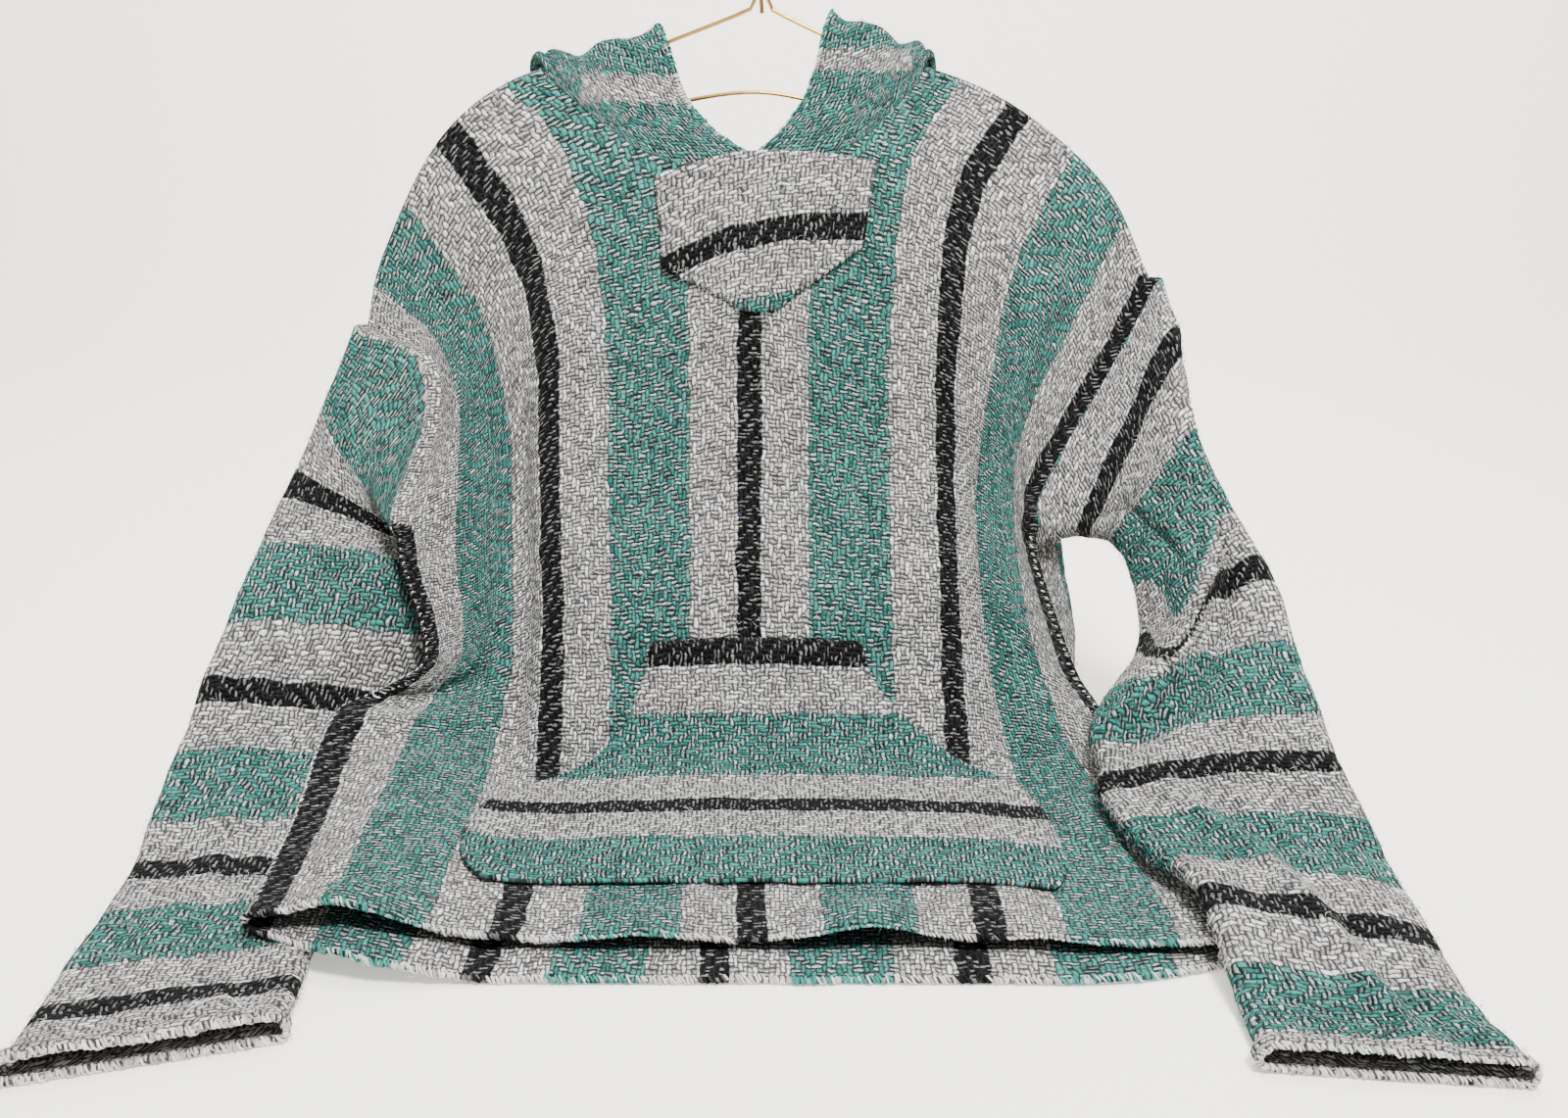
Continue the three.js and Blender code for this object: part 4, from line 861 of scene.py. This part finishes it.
for method, operation in (("__add__", "ADD"), ("__sub__", "SUBTRACT"), ("__mul__", "MULTIPLY"),
                          ("__truediv__", "DIVIDE"), ("__mod__", "MODULO"), ("__pow__", "POWER")):
    setattr(Value, method,
            lambda self, other, operation=operation: self.math(operation, other))


def feed(made, inputs):
    """Set a node's inputs to numbers or colours, or link other nodes' values to them."""
    for key, value in inputs.items():
        socket = made.inputs[key]
        if isinstance(value, Value):
            value.tree.links.new(value.socket, socket)
        elif socket.type == "RGBA":
            socket.default_value = value + (1,)
        else:
            socket.default_value = value


def new_node(tree, kind, inputs=None, output=0, **settings):
    made = tree.nodes.new(kind)
    for key, value in settings.items():
        setattr(made, key, value)
    feed(made, inputs or {})
    return Value(tree, made.outputs[output])


def math_node(tree, operation, *values):
    return new_node(tree, "ShaderNodeMath", dict(enumerate(values)), operation=operation)


def mix(share, a, b, kind="MIX"):
    tree = next(value.tree for value in (share, a, b) if isinstance(value, Value))
    return new_node(tree, "ShaderNodeMix", {0: share, 6: a, 7: b}, 2, data_type="RGBA",
                    blend_type=kind)


def combine(x, *others):
    return new_node(x.tree, "ShaderNodeCombineXYZ", dict(enumerate((x,) + others)))


def separate(vector):
    made = new_node(vector.tree, "ShaderNodeSeparateXYZ", {0: vector}).socket.node
    return [Value(vector.tree, socket) for socket in made.outputs]


def shaded(colour, brightness):
    """The colour, made darker or lighter by a number or another node's value."""
    if isinstance(brightness, Value):
        return mix(1.0, colour, combine(brightness, brightness, brightness), "MULTIPLY")
    return mix(1.0, colour, (brightness,) * 3, "MULTIPLY")


def noise(vector, scale, detail=2, roughness=0.5):
    return new_node(vector.tree, "ShaderNodeTexNoise", {
        "Vector": vector, "Scale": scale, "Detail": detail, "Roughness": roughness}, "Fac")


def random(x, *others):
    return new_node(x.tree, "ShaderNodeTexWhiteNoise", {"Vector": combine(x, *others)}, "Value",
                    noise_dimensions="3D")


def millimetres(tree, layer):
    """The place that a piece's map holds."""
    place = new_node(tree, "ShaderNodeUVMap", uv_map=layer)
    return new_node(tree, "ShaderNodeVectorMath", {"Vector": place, "Scale": 1000.0},
                    operation="SCALE")


def grey(colour):
    return new_node(colour.tree, "ShaderNodeRGBToBW", {0: colour})


def bumped(strength, distance, height):
    return new_node(height.tree, "ShaderNodeBump", {
        "Strength": strength, "Distance": distance, "Height": height})


def yarn_ramp(place):
    """Colour of the warp yarn at a place across the stripes, which is above zero."""
    made = new_node(place.tree, "ShaderNodeValToRGB", {0: place % PITCH / PITCH})
    ramp = made.socket.node.color_ramp
    ramp.interpolation = "CONSTANT"
    ramp.elements.remove(ramp.elements[-1])
    for k, (start, colour) in enumerate(BANDS):
        element = ramp.elements.new(start / PITCH) if k else ramp.elements[0]
        element.position, element.color = start / PITCH, colour + (1,)
    return made


def material_nodes(name):
    """A new material, its node tree and its shader."""
    material = bpy.data.materials.new(name)
    material.use_nodes = True
    return material, material.node_tree, material.node_tree.nodes["Principled BSDF"]


def woven(name):
    """Herringbone twill: a striped warp and a pale weft, each float shaded for itself, with painted
    shade in the gaps between floats.
    """
    material, tree, shader = material_nodes(name)
    place = millimetres(tree, "cloth")
    across, down, _ = separate(place)

    # uneven hand weaving: the yarns wander, slowly and from float to float
    def wander(value, seed):
        for offset, (scale, reach) in ((seed, WANDER_SLOW), (seed + 9, WANDER_QUICK)):
            moved = new_node(tree, "ShaderNodeVectorMath", {0: place, 1: (offset, offset, 0)})
            value = value + (noise(moved, scale) - 0.5) * reach
        return value

    warp_place = wander(across, 3) / WARP + 0.5
    weft_place = wander(down, 17) / WEFT
    i, j = warp_place.floor(), weft_place.floor()
    warp = yarn_ramp(i * WARP + 20 * PITCH + separate(millimetres(tree, "stripe"))[0])
    in_warp, in_weft = warp_place - i, weft_place - j
    stray = noise(combine(i * 0.13, j * 0.21), 1.0, 1)
    column = ((stray * TURN_STRAY + (i + (500 * TURN + 1.5))) / TURN).floor()
    parity = column % 2
    way = 1 - parity * 2
    late = (random((i / LATE_GROUP).floor(), j, 3) * LATE).floor()
    step = i * way + j + (late + ABOVE_ZERO)
    turn = step % REPEAT
    float_number = (step / REPEAT).floor()
    warp_up = turn.math("LESS_THAN", 0.5 * REPEAT - 0.5)

    def chosen(on_warp, on_weft):
        return on_warp * warp_up + on_weft * (1 - warp_up)

    # place along and across the float that shows; each float is a rounded bolster
    side = in_warp * way + parity
    along = chosen((turn + in_weft) * 0.5, (turn - 2 + side) * 0.5)
    thin = (1 - grey(warp)).clamped() * WEFT_THIN_DARK + WEFT_THIN
    cross = chosen(in_warp, (in_weft - 0.5) * thin + 0.5)

    def bolster(value, power):
        return (1 - (value * 2 - 1).math("ABSOLUTE") ** power).clamped()

    height = bolster(along, FLOAT_ALONG) * bolster(cross, FLOAT_ACROSS)
    yarn_number = chosen(i, j)
    float_random = random(yarn_number, float_number, warp_up)
    stretch_random = random(yarn_number, (float_number / 3).floor(), warp_up + 5)
    # twisted fibres along each yarn
    ply = noise(combine(chosen(in_warp * PLY_ACROSS, along * PLY_ALONG),
                        chosen(along * PLY_ALONG, in_weft * PLY_ACROSS), float_random * 40),
                1.0, 3, 0.65)
    warp_colour = shaded(warp, float_random * FLOAT_SHADE + (ply * PLY_SHADE + LEAST_SHADE))
    heather = float_random * FLOAT_HEATHER + stretch_random * STRETCH_HEATHER
    heather = heather + (ply - 0.5) * PLY_HEATHER
    crowd = (grey(warp) * CROWD[0] + CROWD[1]).clamped()
    weft_colour = mix(heather.clamped() * crowd, WEFT_DARK, WEFT_LIGHT)
    weft_colour = shaded(mix(RUBBED, weft_colour, warp), crowd)
    yarn = mix(warp_up, weft_colour, warp_colour)
    nep = random(i, j, 77).math("GREATER_THAN", NEP_FROM)
    yarn = mix(nep * 0.85, yarn, mix(random(j, i, 31), NEP_BROWN, NEP_BLUE))
    # painted shade: the gaps between floats are darkened as though shade falls there, and each
    # float comes into painted light towards its top
    painted_gap_shade = shaded(mix(warp_up, warp_colour, weft_colour), GAP_SHADE)
    lit = new_node(tree, "ShaderNodeMapRange", {
        "Value": height, "From Min": DEEP_FROM, "From Max": DEEP_TO}, "Result",
        interpolation_type="SMOOTHSTEP")
    colour = shaded(mix(lit, painted_gap_shade, yarn), noise(place, WEAR[0], 3) * WEAR[1] + WEAR[2])
    fuzz = noise(place, FUZZ[0], 3, 0.7) * FUZZ[1]
    feed(shader, {"Base Color": colour, "Roughness": 0.9, "Specular IOR Level": 0.04,
                  "Sheen Weight": 0.02, "Sheen Roughness": 0.5,
                  "Normal": bumped(1.0, RELIEF, fuzz + height)})
    return material


def fibres(name):
    """Short loose fibres: some of the warp's colour, some of the pale weft."""
    material, tree, shader = material_nodes(name)
    root = millimetres(tree, "cloth")
    yarn = yarn_ramp(separate(millimetres(tree, "stripe"))[0] + 20 * PITCH)
    pale = noise(root, 0.9, 1).math("GREATER_THAN", 0.55)
    over_black = (grey(yarn) * 3.0 + 0.1).clamped()
    colour = shaded(mix(pale * over_black, yarn, WEFT_LIGHT), noise(root, 2.3, 0) * 1.2 + 0.1)
    feed(shader, {"Base Color": colour, "Roughness": 0.8, "Specular IOR Level": 0.2})
    return material


def thread(name, colour):
    material, tree, shader = material_nodes(name)
    place = new_node(tree, "ShaderNodeTexCoord", output="Object")
    feed(shader, {"Base Color": shaded(colour, noise(place, 900) * 0.9 + 0.5), "Roughness": 0.85})
    return material


def brass():
    material, tree, shader = material_nodes("brass_wire")
    place = new_node(tree, "ShaderNodeTexCoord", output="Object")
    feed(shader, {"Base Color": mix(noise(place, 90, 3), BRASS_DARK, BRASS_LIGHT),
                  "Metallic": 1.0, "Roughness": 0.32,
                  "Normal": bumped(0.25, 0.0002, noise(place, 700))})
    return material


# ---- loose yarn, millimetres
STITCH_PITCH = 2.5  # of loops over a cut edge
SEAM_PITCH = 5.5  # of loops down a seam
LOOP_RADIUS, THREAD_RADIUS, HAIR_RADIUS = 0.72, 0.34, 0.2
LOOP_OFF = 0.35  # a loop's middle line lies this far off the cloth
LOOP_ROUND = 120  # and reaches this many degrees to each side of the edge
HAIR_LENGTH = (2.5, 8.0)
HAIR_RISE = (0.3, 1.9)
UNRULY, UNRULY_RISE = 0.18, 1.9  # this share of the hairs rises so many times more
HAIR_BEND = 0.3  # sideways, over its length
HAIR_ROOT = 0.2  # hairs start this far inside the cloth


def yarns(name, paths, radius, sides, cloth=None):
    """Closed strands, pointed at both ends, along paths[strand, step, xyz], in one mesh."""
    count, steps = paths.shape[:2]
    along = unit(np.gradient(paths, axis=1))
    upright = np.abs(along[:, :1, 2:]) > 0.8
    side = unit(np.cross(along, np.where(upright, [1.0, 0, 0], [0, 0, 1.0])))
    other = np.cross(along, side)
    turn = 2 * math.pi * np.arange(sides) / sides
    rings = (paths[:, 1:-1, None] + radius * (side[:, 1:-1, None] * np.cos(turn)[:, None]
                                              + other[:, 1:-1, None] * np.sin(turn)[:, None]))
    points = np.concatenate([paths[:, :1], rings.reshape(count, -1, 3), paths[:, -1:]], axis=1)
    each = points.shape[1]
    around = np.arange(sides)
    following = (around + 1) % sides
    last = 1 + (steps - 3) * sides
    faces = [np.stack([np.zeros(sides, int), 1 + following, 1 + around], axis=1),
             np.stack([last + around, last + following, np.full(sides, each - 1)], axis=1)]
    for low in range(1, last, sides):
        a, b = low + around, low + following
        faces += [np.stack([a, b, b + sides], axis=1), np.stack([a, b + sides, a + sides], axis=1)]
    strand = np.concatenate(faces)
    faces = (strand[None] + each * np.arange(count)[:, None, None]).reshape(-1, 3)
    if cloth is None:
        cloth = np.zeros((count, 3))
    return mesh_object(name, points.reshape(-1, 3), faces, np.repeat(cloth, each, axis=0))


def nap(surface, count, seed):
    """Fibres that stand off a piece's outer face."""
    grid, normals, cloth = SURFACES[surface]
    rng = np.random.default_rng(seed)
    sizes = np.linalg.norm(np.cross(grid[1:, :-1] - grid[:-1, :-1], grid[:-1, 1:] - grid[:-1, :-1]),
                           axis=-1).ravel()
    picked = rng.choice(sizes.size, count, p=sizes / sizes.sum())
    row, column = np.divmod(picked, grid.shape[1] - 1)
    u, v = rng.random((2, count, 1))

    def at(field):
        top = field[row, column] * (1 - u) + field[row, column + 1] * u
        low = field[row + 1, column] * (1 - u) + field[row + 1, column + 1] * u
        return top * (1 - v) + low * v

    normal = unit(at(normals))
    root = at(grid) + normal * (0.5 * CLOTH - HAIR_ROOT)
    level = unit(grid[row, column + 1] - grid[row, column])
    other = np.cross(normal, level)
    angle = rng.uniform(0, 2 * math.pi, (count, 1))
    way = level * np.cos(angle) + other * np.sin(angle)
    length = rng.uniform(*HAIR_LENGTH, (count, 1))
    rise = rng.uniform(*HAIR_RISE, (count, 1))
    rise = rise * np.where(rng.random((count, 1)) < UNRULY, UNRULY_RISE, 1.0)
    bend = np.cross(normal, way) * rng.uniform(-HAIR_BEND, HAIR_BEND, (count, 1)) * length
    middle = root + way * 0.5 * length + normal * rise + bend
    tip = root + way * length + normal * rise * rng.uniform(-0.1, 1.5, (count, 1))
    paths = np.stack([root, middle, tip], axis=1)
    paths[..., 2] = np.maximum(paths[..., 2], HAIR_RADIUS + 0.05)
    place = at(cloth)
    place[:, 2] += place[:, 0]
    return yarns(surface + "_nap", paths, HAIR_RADIUS, 3, place)


def overcast(name, surface, edge, inside, seed, pitch=STITCH_PITCH, stripe=None):
    """Loops of yarn sewn over an edge, in the cloth's colours there or in that of one stripe."""
    grid, normals, cloth = SURFACES[surface]
    rng = np.random.default_rng(seed)
    steps = np.linalg.norm(np.diff(grid[edge], axis=0), axis=1)
    passed = np.concatenate([[0], np.cumsum(steps)])
    stops = np.arange(1.5, passed[-1] - 1.5, pitch)
    stops = stops + rng.uniform(-0.6, 0.6, stops.size)

    def at(field):
        return np.stack([np.interp(stops, passed, field[:, k]) for k in range(3)], axis=1)

    middle = at(grid[edge])
    outward = unit(middle - at(grid[inside]))
    normal = unit(at(normals[edge]))
    along = np.cross(outward, normal)
    reach = rng.uniform(0.8, 1.2, (stops.size, 1, 1)) * (0.5 * CLOTH + LOOP_OFF)
    turn = np.radians(np.linspace(-LOOP_ROUND, LOOP_ROUND, 9))[None, :, None]
    paths = (middle[:, None] - outward[:, None] * rng.uniform(0.6, 1.8, (stops.size, 1, 1))
             + reach * (outward[:, None] * np.cos(turn) * 1.1 + normal[:, None] * np.sin(turn))
             + along[:, None] * turn * rng.uniform(0.5, 1.9, (stops.size, 1, 1)))
    paths[..., 2] = np.maximum(paths[..., 2], 0.7)
    place = at(cloth[edge])
    place[:, 2] = place[:, 0] + place[:, 2] if stripe is None else stripe
    return yarns(name, paths, LOOP_RADIUS, 5, place)


def laid_on(surface, places, lift):
    """Points above a piece's outer face at shares (down its rows, across its columns)."""
    grid, normals, _ = SURFACES[surface]
    cells = [(int(v * (grid.shape[0] - 1)), int(u * (grid.shape[1] - 1))) for v, u in places]
    found = np.array([grid[cell] + normals[cell] * lift for cell in cells])
    return hermite(np.arange(len(found)), found, np.linspace(0, len(found) - 1, 9 * len(found)))


# ---- the garment
front_piece = body_panel("body_front", front_point, neckline, True, 11)
back_piece = body_panel("body_back", back_point, back_neckline, False, 12)
left_sleeve = sleeve("sleeve_left", LEFT_SLEEVE, -1, 21, LEFT_CREASES)
right_sleeve = sleeve("sleeve_right", RIGHT_SLEEVE, 1, 22, RIGHT_CREASES)
left_hood = hood("hood_left", -1, 51)
right_hood = hood("hood_right", 1, 52)
pocket_piece = pocket()
patch_piece = patch()

stripes = woven("striped_twill")
loose = fibres("loose_fibres")
# For each node of the frame: the piece that replaces it, its slot and its number of hairs.
CLOTH_PIECES = {
    "body_front": (front_piece, "cloth_grey", 14000),
    "body_back": (back_piece, "cloth_grey", 12000),
    "sleeve_left": (left_sleeve, "cloth_teal", 8000),
    "sleeve_right": (right_sleeve, "cloth_teal", 8000),
    "hood_left": (left_hood, "cloth_teal", 3600),
    "hood_right": (right_hood, "cloth_teal", 3000),
    "pouch_pocket": (pocket_piece, "cloth_teal", 3000),
    "neck_patch": (patch_piece, "cloth_grey", 700),
}
# Overcast edges: the node, the edge of its grid and the line beside it, seed.
LAST_ROW, FIRST_ROW = (np.s_[-1], np.s_[-2]), (np.s_[0], np.s_[1])
FIRST_COLUMN, LAST_COLUMN = (np.s_[:, 0], np.s_[:, 1]), (np.s_[:, -1], np.s_[:, -2])
EDGE_LOOPS = {
    "hem_loops_front": ("body_front", LAST_ROW, 200),
    "hem_loops_back": ("body_back", LAST_ROW, 201),
    "cuff_loops_left": ("sleeve_left", LAST_ROW, 202),
    "cuff_loops_right": ("sleeve_right", LAST_ROW, 203),
    "pocket_loops": ("pouch_pocket", FIRST_ROW, 204),
    "hood_loops_left": ("hood_left", FIRST_COLUMN, 220),
    "hood_loops_right": ("hood_right", LAST_COLUMN, 221),
}
# Pale stitches down the front panel: column, the one beside it, shares of the rows, seed.
SEAM_LOOPS = {
    "side_seam_left": (2, 5, 0.34, 0.99, 231),
    "armhole_seam_right": (-3, -6, 0.33, 0.62, 232),
}
PALE_PLACE = 19.5  # a place in the white of the stripe repeat
# Loose threads: the node, places on it, height above it, whether the thread is dark.
LOOSE_THREADS = {
    "thread_cuff_right": ("sleeve_right", [(0.93, 0.62), (0.955, 0.66), (0.975, 0.7),
                                           (0.96, 0.76), (0.94, 0.8)], 3.2, True),
    "thread_cuff_left": ("sleeve_left", [(0.97, 0.42), (0.94, 0.38), (0.955, 0.33),
                                         (0.98, 0.31)], 3.0, False),
    "thread_patch": ("neck_patch", [(0.62, 0.7), (0.7, 0.74), (0.68, 0.8)], 2.4, True),
}


def added(piece, material):
    piece.data.materials.append(material)
    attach(piece, "root")


for seed, (node, (piece, slot, hairs)) in enumerate(CLOTH_PIECES.items()):
    piece.name = node + "_cloth"
    added(piece, stripes)
    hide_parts(node)
    added(nap(node, hairs, 100 + seed), loose)

for name, (node, (edge, inside), seed) in EDGE_LOOPS.items():
    added(overcast(name, node, edge, inside, seed), loose)

for name, (column, beside, low, high, seed) in SEAM_LOOPS.items():
    row_count = len(SURFACES["body_front"][0])
    rows = slice(int(low * row_count), int(high * row_count))
    loops = overcast(name, "body_front", (rows, column), (rows, beside), seed, SEAM_PITCH,
                     PALE_PLACE)
    added(loops, loose)

pale_thread = thread("pale_thread", (0.75, 0.74, 0.71))
dark_thread = thread("dark_thread", (0.02, 0.02, 0.025))
for name, (node, places, lift, dark) in LOOSE_THREADS.items():
    strand = yarns(name, laid_on(node, places, lift)[None], THREAD_RADIUS, 5)
    added(strand, dark_thread if dark else pale_thread)

wire = brass()
for node in ("hanger_frame", "hanger_hook"):
    solid = bpy.data.objects[node]
    solid.data.materials.clear()
    solid.data.materials.append(wire)


# ---- stage, metres
FLOOR_GAP = 0.0008  # the floor lies this far below the part, so that they don't flicker
FLOOR_SIDE, FLOOR_FRONT = 3.4, 2.6  # how far the floor reaches from the middle
WALL_AT, WALL_HEIGHT = 1.1, 2.8  # behind, it sweeps up into a wall
SWEEP_RADIUS = 0.4
# the floor glows evenly: painted light that makes it brighter than the lamps alone do, and that
# lights the garment's lower edge a little
FLOOR_COLOUR, FLOOR_GLOW = (0.955, 0.925, 0.865), (1.0, 0.965, 0.89)
GARMENT = (0, -0.2, -0.45)
LIGHTS = {  # place, what it shines at, diameter, power in watts
    "key": ((0.5, -1.45, 1.8), GARMENT, 0.7, 158),
    "fill": ((-1.5, -1.3, 0.9), GARMENT, 1.6, 6),
    "backdrop": ((0, 0.3, 1.7), (0, 1.4, -0.2), 1.6, 70),
}
SKY, SKY_STRENGTH = (1.0, 0.985, 0.96), 0.44
CAMERA_PLACE = (0.016, -1.262, -0.100)
CAMERA_DOWN = 17.6  # degrees below level
SENSOR = 36  # millimetres
FOCAL = 1690 / 1600  # focal length over the picture's width


def floor_piece():
    height = -HOOK_HEIGHT * 0.001 - FLOOR_GAP
    profile = [(-FLOOR_FRONT, 0.0), (WALL_AT, 0.0)]
    profile += [(WALL_AT + SWEEP_RADIUS * math.sin(a), SWEEP_RADIUS * (1 - math.cos(a)))
                for a in np.linspace(0.1, 0.5 * math.pi, 12)]
    profile.append((WALL_AT + SWEEP_RADIUS, WALL_HEIGHT))
    points = [(x, y, height + z) for y, z in profile for x in (-FLOOR_SIDE, FLOOR_SIDE)]
    faces = [(2 * k, 2 * k + 1, 2 * k + 3, 2 * k + 2) for k in range(len(profile) - 1)]
    mesh = bpy.data.meshes.new("floor")
    mesh.from_pydata(points, [], faces)
    mesh.polygons.foreach_set("use_smooth", np.ones(len(faces), dtype=bool))
    material, _, shader = material_nodes("pale_floor")
    feed(shader, {"Base Color": FLOOR_COLOUR, "Roughness": 0.85, "Specular IOR Level": 0.2,
                  "Emission Color": FLOOR_GLOW, "Emission Strength": 0.55})
    mesh.materials.append(material)
    floor = linked("floor", mesh)


def area_light(name, place, target, size, power):
    light = bpy.data.lights.new(name, "AREA")
    light.shape = "DISK"
    light.size = size
    light.energy = power
    made = linked(name, light)
    made.location = place
    made.rotation_mode = "QUATERNION"
    made.rotation_quaternion = (Vector(target) - Vector(place)).to_track_quat("-Z", "Y")


floor_piece()
world = bpy.data.worlds.new("studio")
world.use_nodes = True
feed(world.node_tree.nodes["Background"], {"Color": SKY, "Strength": SKY_STRENGTH})
bpy.context.scene.world = world
for name, light in LIGHTS.items():
    area_light(name, *light)

camera_data = bpy.data.cameras.new("camera")
camera_data.sensor_width = SENSOR
camera_data.lens = FOCAL * SENSOR
camera = linked("camera", camera_data)
camera.location = CAMERA_PLACE
camera.rotation_euler = (math.radians(90 - CAMERA_DOWN), 0, 0)
bpy.context.scene.camera = camera
